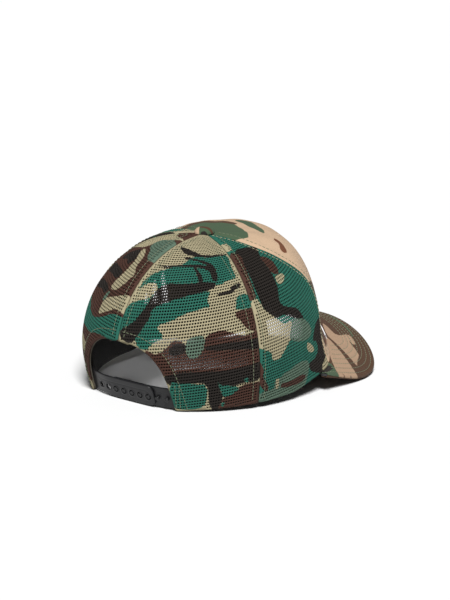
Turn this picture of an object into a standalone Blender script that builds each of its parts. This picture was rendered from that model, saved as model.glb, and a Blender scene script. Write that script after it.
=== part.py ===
"""Trucker cap: cloth front panel with foam backing, four mesh panels, curved visor, snap strap.

The cap is modelled in its own frame first: the rim's plane is z = 0, the visor points to -Y and
the wearer's left is +X. stand_up() then tips it back until it rests on the visor's two lower
corners and the back of the rim, and puts the origin under the middle of its box.
"""

import math

import bmesh
import bpy
import numpy as np
from mathutils import Matrix, Vector

# Crown: a dome over two half ovals, written in metres. Angles run from the front, in degrees.
HALF_WIDTH = 0.083
FRONT_REACH = 0.0806
BACK_REACH = 0.1046
CROWN_HEIGHT = 0.1138
PLAN_POWER = 2.0
FRONT_ROUND = 0.337
SIDE_ROUND = 0.763
BACK_ROUND = 0.765
TOP_SHIFT = 0.0065
BULGE = 0.33
FLARE = 0.12
FLARE_RISE = 0.035
FLARE_FROM = 88.0
FLARE_FULL = 48.0

# Rim: it climbs over the visor's root, and is flat round the sides and back.
ROOT_END = 65.0
ROOT_END_HEIGHT = 0.006
ROOT_RISE = 0.028
ROOT_POWER = 1.6
RIM_FLAT_FROM = 92.0

# Seams.
FRONT_SEAM_LOW = 54.5
FRONT_SEAM_TURN = 28.0
FRONT_SEAM_BEND = 0.6
SIDE_SEAM = 115.5
SEAM_GAP = 0.0003
SEAM_LAYER_LOW = 0.001
SEAM_LAYER_HIGH = 0.85
TAPE_HALF_WIDTH = 0.004
TAPE_END_RADIUS = 0.0135
EYELET_RADIUS = 0.004

# Thicknesses, and how deep under the outer face each layer starts.
GAP = 0.0003
CLOTH = 0.0009
MESH = 0.0010
FOAM_DEPTH = 0.0014
FOAM = 0.0024
FOAM_SEAM_MARGIN = 0.0055
FOAM_END_RADIUS = 0.016
TAPE_DEPTH = 0.0015
TAPE = 0.0006
BAND_DEPTH = 0.0047
BAND_SIDE_DEPTH = 0.0026
BAND = 0.0015
BAND_HEIGHT = 0.032
BAND_DROP = 0.0015
BAND_LOW = 0.0006
BAND_END_GAP = 0.0008
BAND_DEEP_FRONT = 63.0
BAND_DEEP_BACK = 144.0
BAND_EASE = 12.0

# Back opening: an arch in the X-Z plane.
ARCH_HALF_WIDTH = 0.0405
ARCH_HEIGHT = 0.0515
ARCH_POWER = 2.65
FACING_WIDTH = 0.008
FACING = 0.0008

# Snap strap.
STRAP_LOW = 0.0008
STRAP_HIGH = 0.0178
STRAP = 0.0014
STRAP_DEPTH = 0.0028
HINGE_X = 0.0386
HINGE_GAP = 0.00015
STRAP_ROOT_GAP = 0.0006
STRAP_BOW = 0.0040
STRAP_BOW_POWER = 3.5
STRAP_STEP = 0.0018
STRAP_STEP_END = 0.018
TAB_LENGTH = 0.014
SNAP_COUNT = 7
SNAP_PITCH = 0.0079
FIRST_HOLE_X = 0.0285
SNAP_Z = 0.0083
HOLE_RADIUS = 0.0022
PEG_RADIUS = 0.0018
PEG_TIP_RADIUS = 0.0016
PEG_PROUD = 0.0004
STRAP_TIP = 0.005
STRAP_TIP_SHARE = 0.35
STRAP_TIP_POWER = 2.4
FIRST_PEG_HOLE = 2
OUTER_TIP_X = -0.0243
INNER_TIP_X = 0.0172

# Visor.
VISOR_HALF_WIDTH = 0.0872
VISOR_FRONT = 0.1441
VISOR_SIDE_START = 0.032
VISOR_POWER = 3.36
VISOR_HIGH = 0.0353
VISOR_DROP = 0.0411
VISOR_DROP_AT = 0.08
VISOR_DROP_POWER = 2.17
VISOR_TILT = 0.388
VISOR_ROOT_Y = 0.0927
VISOR_COVER = 0.0006
VISOR_BOARD = 0.0018
VISOR_EDGE_MARGIN = 0.0013
VISOR_TUCK = 0.0012

# Button.
BUTTON_RADIUS = 0.008
BUTTON_HEIGHT = 0.0045
BUTTON_SKIN = 0.0006
BACKING_RADIUS = 0.007
BACKING = 0.0008
STEM_RADIUS = 0.0016
SHELL = 0.0005
RIVET_TAPER = 0.0007
RIVET_HEAD = 0.0006

# Small blank woven tab beside the visor's root.
LABEL_START = 30.0
LABEL_END = 38.0
LABEL_LOW = 0.0012
LABEL_TOP = 0.0045
LABEL_OUT = 0.0008
LABEL = 0.0005

REST_PITCH = 3.9

CLOTH_TAN = (0.62, 0.44, 0.30)
CLOTH_BROWN = (0.16, 0.08, 0.045)
MESH_GREEN = (0.045, 0.20, 0.13)
MESH_KHAKI = (0.42, 0.36, 0.22)
TAPE_OLIVE = (0.10, 0.09, 0.05)
BLACK_PLASTIC = (0.025, 0.024, 0.027)
BLACK_CLOTH = (0.02, 0.02, 0.02)
FOAM_GREY = (0.035, 0.035, 0.035)
BOARD_GREY = (0.04, 0.04, 0.042)
METAL = (0.6, 0.6, 0.6)
LABEL_WHITE = (0.85, 0.85, 0.88)


def smooth(value):
    value = np.clip(value, 0.0, 1.0)
    return value * value * (3.0 - 2.0 * value)


def rim_height(phi):
    """Height of the crown's lower edge at an angle from the front, in radians."""
    angle = np.degrees(np.abs((phi + np.pi) % (2 * np.pi) - np.pi))
    inside = np.clip(angle / ROOT_END, 0.0, 1.0)
    arch = ROOT_END_HEIGHT + ROOT_RISE * np.cos(inside * np.pi / 2) ** ROOT_POWER
    fall = smooth((RIM_FLAT_FROM - angle) / (RIM_FLAT_FROM - ROOT_END))
    return np.where(angle <= ROOT_END, arch, ROOT_END_HEIGHT * fall)


def roundness_power(phi):
    front = np.clip(np.cos(phi), 0, 1) ** 2
    back = np.clip(-np.cos(phi), 0, 1) ** 2
    return 2.0 / (FRONT_ROUND * front + SIDE_ROUND * np.sin(phi) ** 2 + BACK_ROUND * back)


def plan_radius(phi):
    reach = np.where(np.cos(phi) > 0, FRONT_REACH, BACK_REACH)
    across = np.abs(np.sin(phi) / HALF_WIDTH) ** PLAN_POWER
    along = np.abs(np.cos(phi) / reach) ** PLAN_POWER
    return (across + along) ** (-1.0 / PLAN_POWER)


def crown_point(phi, climb):
    """Point on the crown's outer face. climb is 0 at the rim's plane and 1 at the top."""
    power = roundness_power(phi)
    across = np.cos(climb * np.pi / 2)
    upward = np.sin(climb * np.pi / 2)
    scale = (across**power + upward**power) ** (-1.0 / power)
    rise = upward * scale
    angle = np.degrees(np.abs((phi + np.pi) % (2 * np.pi) - np.pi))
    above = np.clip((rise * CROWN_HEIGHT - rim_height(phi)) / FLARE_RISE, 0.0, 1.0)
    flare = FLARE * smooth((FLARE_FROM - angle) / (FLARE_FROM - FLARE_FULL)) * (1 - above) ** 2
    radius = plan_radius(phi) * across * scale * (1 + BULGE * rise * (1 - rise)) * (1 + flare)
    x = -radius * np.sin(phi)
    y = -radius * np.cos(phi) + TOP_SHIFT * rise
    return np.stack([x, y, rise * CROWN_HEIGHT], axis=-1)


def skin(phi, climb, depth):
    """Point at a depth under the crown's outer face, measured along the face's normal."""
    phi, climb = np.broadcast_arrays(np.asarray(phi, float), np.asarray(climb, float))
    step = 1e-4
    along = crown_point(phi + step, climb) - crown_point(phi - step, climb)
    upward = crown_point(phi, climb + step) - crown_point(phi, climb - step)
    normal = np.cross(upward, along)
    normal /= np.linalg.norm(normal, axis=-1, keepdims=True)
    return crown_point(phi, climb) - normal * np.asarray(depth)[..., None]


def climb_at_height(phi, height):
    power = roundness_power(phi)
    rise = np.clip(height / CROWN_HEIGHT, 0, 1)
    return np.arctan2(rise, (1 - rise**power) ** (1 / power)) * 2 / np.pi


def climb_at_radius(phi, radius):
    power = roundness_power(phi)
    reach = np.clip(radius / plan_radius(phi), 0, 1)
    return np.arctan2((1 - reach**power) ** (1 / power), reach) * 2 / np.pi


def angle_at_x(x, height, depth):
    """Angle at which the back of the crown, at a depth, passes a given x."""
    x, height = np.broadcast_arrays(np.asarray(x, float), np.asarray(height, float))
    low = np.full(x.shape, np.pi / 2)
    high = np.full(x.shape, 1.5 * np.pi)
    for _ in range(40):
        middle = (low + high) / 2
        beyond = skin(middle, climb_at_height(middle, height), depth)[..., 0] > x
        high = np.where(beyond, middle, high)
        low = np.where(beyond, low, middle)
    return (low + high) / 2


def front_seam(share):
    """Angle of the front seam at a share of the way from the rim to the top."""
    phi = np.full(np.shape(share), math.radians(FRONT_SEAM_LOW))
    for _ in range(6):
        climb = seam_climb(phi, share)
        rise = crown_point(phi, climb)[..., 2] / CROWN_HEIGHT
        turn = np.clip((rise - FRONT_SEAM_BEND) / (1 - FRONT_SEAM_BEND), 0, 1) ** 2
        phi = np.radians(FRONT_SEAM_LOW + FRONT_SEAM_TURN * turn)
    return phi


def side_seam(share):
    return np.full(np.shape(share), math.radians(SIDE_SEAM))


def back_seam(share):
    return np.full(np.shape(share), math.pi)


def seam_climb(phi, share, low=GAP, radius=EYELET_RADIUS):
    """Climb along a meridian at a share of the way from just above the rim to a top ring."""
    start = climb_at_height(phi, rim_height(phi) + low)
    return start + (climb_at_radius(phi, radius) - start) * share


def material(name, color, roughness, metallic=0.0):
    made = bpy.data.materials.new(name)
    made.use_nodes = True
    shader = made.node_tree.nodes["Principled BSDF"]
    shader.inputs["Base Color"].default_value = (*color, 1.0)
    shader.inputs["Roughness"].default_value = roughness
    shader.inputs["Metallic"].default_value = metallic
    return made


def new_object(name, mesh_data, color, roughness, metallic=0.0):
    mesh = bpy.data.meshes.new(name)
    mesh_data.to_mesh(mesh)
    mesh_data.free()
    mesh.materials.append(material(name, color, roughness, metallic))
    made = bpy.data.objects.new(name, mesh)
    bpy.context.scene.collection.objects.link(made)
    mesh.shade_smooth()
    mesh.set_sharp_from_angle(angle=math.radians(35))
    return made


def slab_mesh(face, back):
    """Closed plate between two grids of points of the same size."""
    rows, columns = face.shape[:2]
    mesh_data = bmesh.new()
    fronts = [[mesh_data.verts.new(point) for point in line] for line in face]
    backs = [[mesh_data.verts.new(point) for point in line] for line in back]
    for row in range(rows - 1):
        for column in range(columns - 1):
            for grid in (fronts, backs):
                corners = (grid[row][column], grid[row][column + 1])
                mesh_data.faces.new((*corners, grid[row + 1][column + 1], grid[row + 1][column]))
    border = [(0, column) for column in range(columns)]
    border += [(row, columns - 1) for row in range(1, rows)]
    border += [(rows - 1, column) for column in range(columns - 2, -1, -1)]
    border += [(row, 0) for row in range(rows - 2, 0, -1)]
    for here, there in zip(border, border[1:] + border[:1]):
        corners = (fronts[here[0]][here[1]], fronts[there[0]][there[1]])
        mesh_data.faces.new((*corners, backs[there[0]][there[1]], backs[here[0]][here[1]]))
    bmesh.ops.recalc_face_normals(mesh_data, faces=mesh_data.faces)
    return mesh_data


def crown_layer(phi, climb, depth, thickness):
    return slab_mesh(skin(phi, climb, depth), skin(phi, climb, depth + thickness))


def panel_grid(left_seam, right_seam, columns, rows, inset=SEAM_GAP / 2):
    """Angles and climbs of a panel's grid, held back from both seams by half the seam gap."""
    share = np.linspace(0, 1, rows)[:, None] ** 0.85
    left = left_seam(share)
    right = right_seam(share)
    near = (1 - share) * plan_radius(left) + share * EYELET_RADIUS
    left = left + inset / near
    right = right - inset / near
    across = np.linspace(0, 1, columns)[None, :]
    phi = left + (right - left) * across
    return phi, seam_climb(phi, np.broadcast_to(share, phi.shape))


def mirrored(mesh_data):
    bmesh.ops.scale(mesh_data, vec=(-1, 1, 1), verts=mesh_data.verts)
    bmesh.ops.reverse_faces(mesh_data, faces=mesh_data.faces)
    return mesh_data


def cut(target, cutter, operation="DIFFERENCE"):
    cutter.hide_render = True
    cutter.display_type = "WIRE"
    modifier = target.modifiers.new(operation.lower(), "BOOLEAN")
    modifier.operation = operation
    modifier.object = cutter


def front_panel():
    def minus_seam(share):
        return -front_seam(share)

    phi, climb = panel_grid(minus_seam, front_seam, 25, 18)
    return [new_object("front_panel", crown_layer(phi, climb, 0.0, CLOTH), CLOTH_TAN, 0.85)]


def front_foam_backing():
    share = np.linspace(0, 1, 9)[:, None]
    edge = front_seam(share * SEAM_LAYER_HIGH)
    climb = seam_climb(edge, share, SEAM_LAYER_LOW, FOAM_END_RADIUS)
    radius = np.linalg.norm(crown_point(edge, climb)[..., :2], axis=-1)
    edge = edge - FOAM_SEAM_MARGIN / radius
    phi = edge * np.linspace(-1, 1, 15)[None, :]
    share = np.broadcast_to(share, phi.shape)
    climb = seam_climb(phi, share, SEAM_LAYER_LOW, FOAM_END_RADIUS)
    layer = crown_layer(phi, climb, FOAM_DEPTH, FOAM)
    return [new_object("front_foam_backing", layer, FOAM_GREY, 0.95)]


def side_mesh_panels():
    phi, climb = panel_grid(front_seam, side_seam, 17, 18)
    right = crown_layer(phi, climb, 0.0, MESH)
    left = mirrored(right.copy())
    return [
        new_object("side_mesh_right", right, MESH_GREEN, 0.6),
        new_object("side_mesh_left", left, MESH_GREEN, 0.6),
    ]


def arch_outline(angle, grow):
    """Points (x, z) of the arch, from the wearer's right leg over the top to the left leg."""
    across = np.cos(angle)
    upward = np.sin(angle)
    scale = (np.abs(across) ** ARCH_POWER + np.abs(upward) ** ARCH_POWER) ** (-1 / ARCH_POWER)
    x = -(ARCH_HALF_WIDTH + grow) * across * scale
    return x, (ARCH_HEIGHT + grow) * upward * scale


def arch_cutter():
    angle = np.linspace(0, np.pi, 29)
    x, z = arch_outline(angle, 0.0)
    x = np.concatenate([[-ARCH_HALF_WIDTH], x, [ARCH_HALF_WIDTH]])
    z = np.concatenate([[-0.01], z, [-0.01]])
    mesh_data = bmesh.new()
    ring = [mesh_data.verts.new((a, 0.03, b)) for a, b in zip(x, z)]
    face = mesh_data.faces.new(ring)
    made = bmesh.ops.extrude_face_region(mesh_data, geom=[face])["geom"]
    moved = [item for item in made if isinstance(item, bmesh.types.BMVert)]
    bmesh.ops.translate(mesh_data, vec=(0, 0.15, 0), verts=moved)
    bmesh.ops.recalc_face_normals(mesh_data, faces=mesh_data.faces)
    return new_object("arch_cutter", mesh_data, BLACK_CLOTH, 0.5)


def back_mesh_panels(cutter):
    phi, climb = panel_grid(side_seam, back_seam, 17, 18)
    right = crown_layer(phi, climb, 0.0, MESH)
    left = mirrored(right.copy())
    panels = [
        new_object("back_mesh_right", right, MESH_KHAKI, 0.6),
        new_object("back_mesh_left", left, MESH_KHAKI, 0.6),
    ]
    for panel in panels:
        cut(panel, cutter)
    return panels


def seam_tape(seam, low):
    share = np.linspace(0, 1, 15)[:, None]
    middle = seam(share * SEAM_LAYER_HIGH)
    climb = seam_climb(middle, share, low, TAPE_END_RADIUS)
    radius = np.linalg.norm(crown_point(middle, climb)[..., :2], axis=-1)
    phi = middle + np.linspace(-1, 1, 3)[None, :] * TAPE_HALF_WIDTH / radius
    climb = seam_climb(phi, np.broadcast_to(share, phi.shape), low, TAPE_END_RADIUS)
    return crown_layer(phi, climb, TAPE_DEPTH, TAPE)


def seam_tapes():
    tapes = []
    for name, seam in (("front", front_seam), ("side", side_seam)):
        right = seam_tape(seam, SEAM_LAYER_LOW)
        left = mirrored(right.copy())
        tapes.append(new_object(name + "_seam_tape_right", right, TAPE_OLIVE, 0.8))
        tapes.append(new_object(name + "_seam_tape_left", left, TAPE_OLIVE, 0.8))
    back = seam_tape(back_seam, ARCH_HEIGHT + FACING_WIDTH + SEAM_LAYER_LOW)
    tapes.append(new_object("back_seam_tape", back, TAPE_OLIVE, 0.8))
    return tapes


def arch_facing():
    angle = np.radians(np.linspace(0.6, 179.4, 33))[None, :]
    grow = np.array([GAP, FACING_WIDTH / 2, FACING_WIDTH])[:, None]
    x, z = arch_outline(np.broadcast_to(angle, (3, 33)), grow)
    z = np.maximum(z, 0.0006)
    phi = angle_at_x(x, z, 0.0)
    layer = crown_layer(phi, climb_at_height(phi, z), TAPE_DEPTH, FACING)
    return [new_object("arch_facing", layer, MESH_KHAKI, 0.7)]


def sweatband():
    end = float(angle_at_x(-ARCH_HALF_WIDTH - BAND_END_GAP, 0.01, BAND_DEPTH))
    phi = np.linspace(-end, end, 65)[None, :]
    up = np.linspace(0, 1, 4)[:, None]
    phi = np.broadcast_to(phi, (4, 65))
    angle = np.degrees(np.abs(phi))
    near_front = smooth((BAND_DEEP_FRONT - angle) / BAND_EASE + 1)
    near_back = smooth((angle - BAND_DEEP_BACK) / BAND_EASE + 1)
    depth = BAND_SIDE_DEPTH + (BAND_DEPTH - BAND_SIDE_DEPTH) * np.maximum(near_front, near_back)
    under_visor = BAND_DROP * smooth((RIM_FLAT_FROM - angle) / 15)
    height = rim_height(phi) + BAND_LOW - under_visor + BAND_HEIGHT * up
    climb = climb_at_height(phi, height)
    layer = slab_mesh(skin(phi, climb, depth), skin(phi, climb, depth + BAND))
    return [new_object("sweatband", layer, BLACK_CLOTH, 0.9)]


def visor_surface(columns, rows, edge_margin):
    """Top face of the visor: straight ribs from its root under the front panel to its edge."""
    phi = np.radians(np.linspace(-ROOT_END, ROOT_END, columns))
    root = skin(phi, climb_at_height(phi, rim_height(phi)), VISOR_TUCK)
    turn = np.radians(np.linspace(177.0, 3.0, columns))
    power = (np.abs(np.cos(turn)) ** VISOR_POWER + np.sin(turn) ** VISOR_POWER) ** (-1 / VISOR_POWER)
    x = -VISOR_HALF_WIDTH * np.cos(turn) * power
    y = -(VISOR_SIDE_START + (VISOR_FRONT - VISOR_SIDE_START) * np.sin(turn) * power)
    drop = VISOR_DROP * np.abs(x / VISOR_DROP_AT) ** VISOR_DROP_POWER
    z = VISOR_HIGH - drop - VISOR_TILT * (-y - VISOR_ROOT_Y)
    edge = np.stack([x, y, z], axis=-1)
    length = np.linalg.norm(edge - root, axis=-1, keepdims=True)
    edge = edge + (root - edge) * edge_margin / length
    out = np.linspace(0, 1, rows)[:, None, None]
    return root[None] * (1 - out) + edge[None] * out


def lowered(grid, depth):
    """The grid moved down along its own normals."""
    down = np.cross(np.gradient(grid, axis=0), np.gradient(grid, axis=1))
    down /= np.linalg.norm(down, axis=-1, keepdims=True)
    down *= -np.sign(down[..., 2:3])
    return grid + down * depth


def visor():
    cover = visor_surface(31, 8, 0.0)
    board = visor_surface(31, 8, VISOR_EDGE_MARGIN)
    board_depth = VISOR_COVER + GAP
    under_depth = board_depth + VISOR_BOARD + GAP
    top = slab_mesh(cover, lowered(cover, VISOR_COVER))
    stiff = slab_mesh(lowered(board, board_depth), lowered(board, board_depth + VISOR_BOARD))
    under = slab_mesh(lowered(cover, under_depth), lowered(cover, under_depth + VISOR_COVER))
    return [
        new_object("visor_top_cover", top, CLOTH_BROWN, 0.85),
        new_object("visor_board", stiff, BOARD_GREY, 0.5),
        new_object("visor_under_cover", under, CLOTH_BROWN, 0.85),
    ]


def turned(profile, steps=28):
    """Solid of revolution about the crown's top, from (radius, height above the top) points."""
    mesh_data = bmesh.new()
    centre = Vector((0, TOP_SHIFT, CROWN_HEIGHT))
    verts = [mesh_data.verts.new(centre + Vector((radius, 0, height))) for radius, height in profile]
    edges = [mesh_data.edges.new(pair) for pair in zip(verts, verts[1:] + verts[:1])]
    bmesh.ops.spin(
        mesh_data, geom=verts + edges, cent=centre, axis=(0, 0, 1), angle=2 * math.pi, steps=steps
    )
    bmesh.ops.remove_doubles(mesh_data, verts=mesh_data.verts, dist=1e-6)
    loose = [edge for edge in mesh_data.edges if not edge.link_faces]
    bmesh.ops.delete(mesh_data, geom=loose, context="EDGES")
    bmesh.ops.recalc_face_normals(mesh_data, faces=mesh_data.faces)
    return mesh_data


def dome(radius, height, base, steps=6):
    """Profile points of a flattened dome, from its base edge up to its top on the axis."""
    turns = [math.pi / 2 * step / steps for step in range(steps + 1)]
    return [(radius * math.cos(turn), base + height * math.sin(turn)) for turn in turns]


def top_button():
    inner = dome(BUTTON_RADIUS - BUTTON_SKIN, BUTTON_HEIGHT - BUTTON_SKIN, GAP)
    cover = dome(BUTTON_RADIUS, BUTTON_HEIGHT, GAP) + inner[::-1]
    shell_radius = BUTTON_RADIUS - BUTTON_SKIN - GAP
    shell_height = BUTTON_HEIGHT - BUTTON_SKIN - GAP
    hollow = dome(shell_radius - SHELL, shell_height - SHELL, GAP)
    shell = dome(shell_radius, shell_height, GAP) + hollow[::-1]
    low = -MESH - GAP
    disc = [
        (STEM_RADIUS + GAP, low),
        (BACKING_RADIUS, low),
        (BACKING_RADIUS, low - BACKING),
        (STEM_RADIUS + GAP, low - BACKING),
    ]
    head = low - BACKING - GAP
    rivet = [
        (0.0, shell_height - SHELL),
        (STEM_RADIUS, shell_height - SHELL - RIVET_TAPER),
        (STEM_RADIUS, head),
        (2 * STEM_RADIUS, head),
        (2 * STEM_RADIUS, head - RIVET_HEAD),
        (0.0, head - RIVET_HEAD),
    ]
    return [
        new_object("button_cover", turned(cover), CLOTH_BROWN, 0.85),
        new_object("button_shell", turned(shell), METAL, 0.35, 1.0),
        new_object("button_backing_disc", turned(disc), METAL, 0.35, 1.0),
        new_object("button_rivet", turned(rivet), METAL, 0.35, 1.0),
    ]


def hinge_line():
    """Ends of the wearer's right strap's hinge line, low and high, mid-way through the strap."""
    height = np.array([STRAP_LOW, STRAP_HIGH])
    phi = angle_at_x(np.full(2, -HINGE_X), height, STRAP_DEPTH + STRAP / 2)
    return skin(phi, climb_at_height(phi, height), STRAP_DEPTH + STRAP / 2)


def strap_middle(x, height, outer):
    """y of a strap's mid face. The outer strap lies one step further out over the inner one."""
    low, high = hinge_line()
    base = low[1] + (high[1] - low[1]) * (height - low[2]) / (high[2] - low[2])
    bow = STRAP_BOW * (1 - np.abs(x / HINGE_X) ** STRAP_BOW_POWER)
    step = STRAP_STEP * smooth((HINGE_X - x) / (HINGE_X - STRAP_STEP_END))
    return base + bow + (step if outer else 0.0)


def strap_mesh(root_x, tip_x, outer):
    """Band from its hinge to a rounded tip, in a grid that narrows towards the tip."""
    along = 1 - (1 - np.linspace(0, 1, 26)) ** 1.5
    x = (root_x + (tip_x - root_x) * along)[:, None]
    to_tip = np.clip(np.abs(x - tip_x) / STRAP_TIP, 0.0, 1.0)
    rounded = (1 - (1 - to_tip) ** STRAP_TIP_POWER) ** (1 / STRAP_TIP_POWER)
    narrow = STRAP_TIP_SHARE + (1 - STRAP_TIP_SHARE) * rounded
    half = (STRAP_HIGH - STRAP_LOW) / 2 * narrow
    z = (STRAP_HIGH + STRAP_LOW) / 2 + half * np.linspace(-1, 1, 5)[None, :]
    x = np.broadcast_to(x, z.shape)
    middle = np.stack([x, strap_middle(x, z, outer), z], axis=-1)
    out = np.cross(np.gradient(middle, axis=0), np.gradient(middle, axis=1))
    out /= np.linalg.norm(out, axis=-1, keepdims=True)
    out *= np.sign(out[..., 1:2])
    return slab_mesh(middle + out * STRAP / 2, middle - out * STRAP / 2)


def snap_x(index):
    return FIRST_HOLE_X - SNAP_PITCH * index


def strap_rods(indices, base_radius, tip_radius, start, end):
    """Rods through the snap points, between two distances from the outer strap's middle."""
    low, high = hinge_line()
    lean = math.atan2(high[1] - low[1], high[2] - low[2])
    mesh_data = bmesh.new()
    for index in indices:
        x = snap_x(index)
        here, beyond = (float(strap_middle(near, SNAP_Z, True)) for near in (x, x + 1e-4))
        turn = math.atan2(beyond - here, 1e-4)
        point = Vector((x, here, SNAP_Z))
        place = Matrix.Translation(point) @ Matrix.Rotation(turn, 4, "Z")
        place = place @ Matrix.Rotation(-math.pi / 2 - lean, 4, "X")
        place = place @ Matrix.Translation((0, 0, (start + end) / 2))
        bmesh.ops.create_cone(
            mesh_data, cap_ends=True, segments=16, radius1=base_radius, radius2=tip_radius,
            depth=end - start, matrix=place,
        )
    bmesh.ops.recalc_face_normals(mesh_data, faces=mesh_data.faces)
    return mesh_data


def straps():
    outer = new_object(
        "strap_left", strap_mesh(HINGE_X - STRAP_ROOT_GAP, OUTER_TIP_X, True), BLACK_PLASTIC, 0.4
    )
    holes = strap_rods(range(SNAP_COUNT), HOLE_RADIUS, HOLE_RADIUS, -STRAP, STRAP)
    cut(outer, new_object("hole_cutter", holes, BLACK_PLASTIC, 0.4))
    inner = new_object(
        "strap_right", strap_mesh(-HINGE_X + STRAP_ROOT_GAP, INNER_TIP_X, False), BLACK_PLASTIC, 0.4
    )
    engaged = range(FIRST_PEG_HOLE, FIRST_PEG_HOLE + SNAP_COUNT)
    pegs = strap_rods(engaged, PEG_RADIUS, PEG_TIP_RADIUS, -STRAP_STEP, STRAP / 2 + PEG_PROUD)
    cut(inner, new_object("peg_maker", pegs, BLACK_PLASTIC, 0.4), "UNION")
    return [outer, inner]


def strap_tabs():
    """The strap ends that are sewn between the arch facing and the sweatband."""
    height = np.linspace(STRAP_LOW, STRAP_HIGH, 4)[:, None]
    along = np.linspace(0, 1, 7)[None, :]
    x = np.broadcast_to(-HINGE_X - HINGE_GAP - TAB_LENGTH * along, (4, 7))
    height = np.broadcast_to(height, (4, 7))
    phi = angle_at_x(x, height, STRAP_DEPTH + STRAP / 2)
    right = crown_layer(phi, climb_at_height(phi, height), STRAP_DEPTH, STRAP)
    left = mirrored(right.copy())
    return [
        new_object("strap_tab_right", right, BLACK_PLASTIC, 0.4),
        new_object("strap_tab_left", left, BLACK_PLASTIC, 0.4),
    ]


def side_label():
    """Blank woven tab standing on the visor's root, just outside the front panel."""
    phi = np.radians(np.linspace(LABEL_START, LABEL_END, 5))[None, :]
    up = np.array([LABEL_LOW, LABEL_TOP])[:, None]
    phi = np.broadcast_to(phi, (2, 5))
    layer = crown_layer(phi, climb_at_height(phi, rim_height(phi) + up), -LABEL_OUT, LABEL)
    return [new_object("side_label", layer, LABEL_WHITE, 0.7)]


def stand_up(pieces):
    """Tips the cap back on to its visor corners and rim, with the origin under its box."""
    tip = Matrix.Rotation(-math.radians(REST_PITCH), 4, "X")
    helpers = [made for made in bpy.context.scene.objects if made.hide_render]
    for made in pieces + helpers:
        made.data.transform(tip)
    points = np.array([tuple(vert.co) for made in pieces for vert in made.data.vertices])
    low = points.min(axis=0)
    high = points.max(axis=0)
    shift = Matrix.Translation((0, -(low[1] + high[1]) / 2, -low[2]))
    for made in pieces + helpers:
        made.data.transform(shift)
    return shift @ tip


def set_origin(made, point):
    made.data.transform(Matrix.Translation(-point))
    made.location = point


def build():
    for old in list(bpy.data.objects):
        bpy.data.objects.remove(old)
    pieces = front_panel() + front_foam_backing() + side_mesh_panels()
    pieces += back_mesh_panels(arch_cutter())
    pieces += seam_tapes() + arch_facing() + sweatband() + visor() + top_button()
    moving = straps()
    pieces += moving + strap_tabs() + side_label()
    placed = stand_up(pieces)
    low, high = hinge_line()
    hinge = Vector((low + high) / 2)
    set_origin(moving[0], placed @ Vector((-hinge.x, hinge.y, hinge.z)))
    set_origin(moving[1], placed @ hinge)


build()
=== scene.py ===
"""Looks of the trucker cap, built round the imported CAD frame.

The crown's shape is the same set of formulas as in the CAD, written in the cap's own upright frame:
the rim's plane is z = 0, the visor points to -Y and the wearer's left is +X. standing() gives the
matrix that tips that frame back on to the floor, read from the CAD box of the visor's cover.
Printed shapes are outlines in millimetres on each piece of cloth laid flat.
"""

import math

import bpy
import numpy as np
from mathutils import Matrix, Vector
from mathutils.geometry import delaunay_2d_cdt


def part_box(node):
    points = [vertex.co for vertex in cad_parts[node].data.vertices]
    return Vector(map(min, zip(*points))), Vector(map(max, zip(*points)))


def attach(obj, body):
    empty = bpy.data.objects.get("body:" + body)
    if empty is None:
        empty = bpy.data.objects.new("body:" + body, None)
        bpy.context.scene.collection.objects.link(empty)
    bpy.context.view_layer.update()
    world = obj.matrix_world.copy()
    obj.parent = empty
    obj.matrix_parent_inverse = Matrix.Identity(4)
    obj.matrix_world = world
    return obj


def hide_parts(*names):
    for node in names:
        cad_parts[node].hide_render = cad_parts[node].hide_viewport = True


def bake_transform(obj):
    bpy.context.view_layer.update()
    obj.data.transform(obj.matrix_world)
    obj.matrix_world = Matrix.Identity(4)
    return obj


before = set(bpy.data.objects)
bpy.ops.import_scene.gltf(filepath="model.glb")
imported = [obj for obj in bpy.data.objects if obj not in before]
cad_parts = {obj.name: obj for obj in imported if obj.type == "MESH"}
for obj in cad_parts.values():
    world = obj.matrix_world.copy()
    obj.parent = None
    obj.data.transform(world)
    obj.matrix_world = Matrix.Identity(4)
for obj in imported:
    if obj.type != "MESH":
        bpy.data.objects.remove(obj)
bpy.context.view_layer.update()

# Crown, as in the CAD.
HALF_WIDTH = 0.083
FRONT_REACH = 0.0806
BACK_REACH = 0.1046
CROWN_HEIGHT = 0.1138
FRONT_ROUND = 0.337
SIDE_ROUND = 0.763
BACK_ROUND = 0.765
TOP_SHIFT = 0.0065
BULGE = 0.33
FLARE = 0.12
FLARE_RISE = 0.035
FLARE_FROM = 88.0
FLARE_FULL = 48.0
ROOT_END = 65.0
ROOT_END_HEIGHT = 0.006
ROOT_RISE = 0.028
ROOT_POWER = 1.6
RIM_FLAT_FROM = 92.0
FRONT_SEAM_LOW = 54.5
FRONT_SEAM_TURN = 28.0
FRONT_SEAM_BEND = 0.6
SIDE_SEAM = 115.5
SEAM_GAP = 0.0003
EYELET_RADIUS = 0.004
REST_PITCH = 3.9

# Layers: how deep under the outer face each starts, and its thickness.
CLOTH = 0.0009
HEM_DEPTH = 0.00110
HEM = 0.00030
HEM_WIDTH = 0.0098
# The hem's level in the knit, which sets its painted shade: a little under half way to near black.
HEM_LEVEL = 0.34
HEM_STEPS = (0.0006, 0.003, 0.006, HEM_WIDTH)
FOAM_DEPTH = 0.0014
FOAM = 0.0024
TAPE_DEPTH = 0.0015
TAPE = 0.0006
TAPE_HALF_WIDTH = 0.004
TAPE_END_RADIUS = 0.0135
SEAM_LAYER_LOW = 0.001
SEAM_LAYER_HIGH = 0.85
FOAM_SEAM_MARGIN = 0.0055
FOAM_END_RADIUS = 0.016
BAND_DEPTH = 0.0047
BAND_SIDE_DEPTH = 0.0026
BAND = 0.0015
BAND_HEIGHT = 0.032
BAND_DROP = 0.0060
BAND_DROP_FROM = 80.0
BAND_DROP_EASE = 20.0
BAND_LOW = 0.0006
BAND_END_GAP = 0.0008
BAND_EDGE = 0.0006
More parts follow.
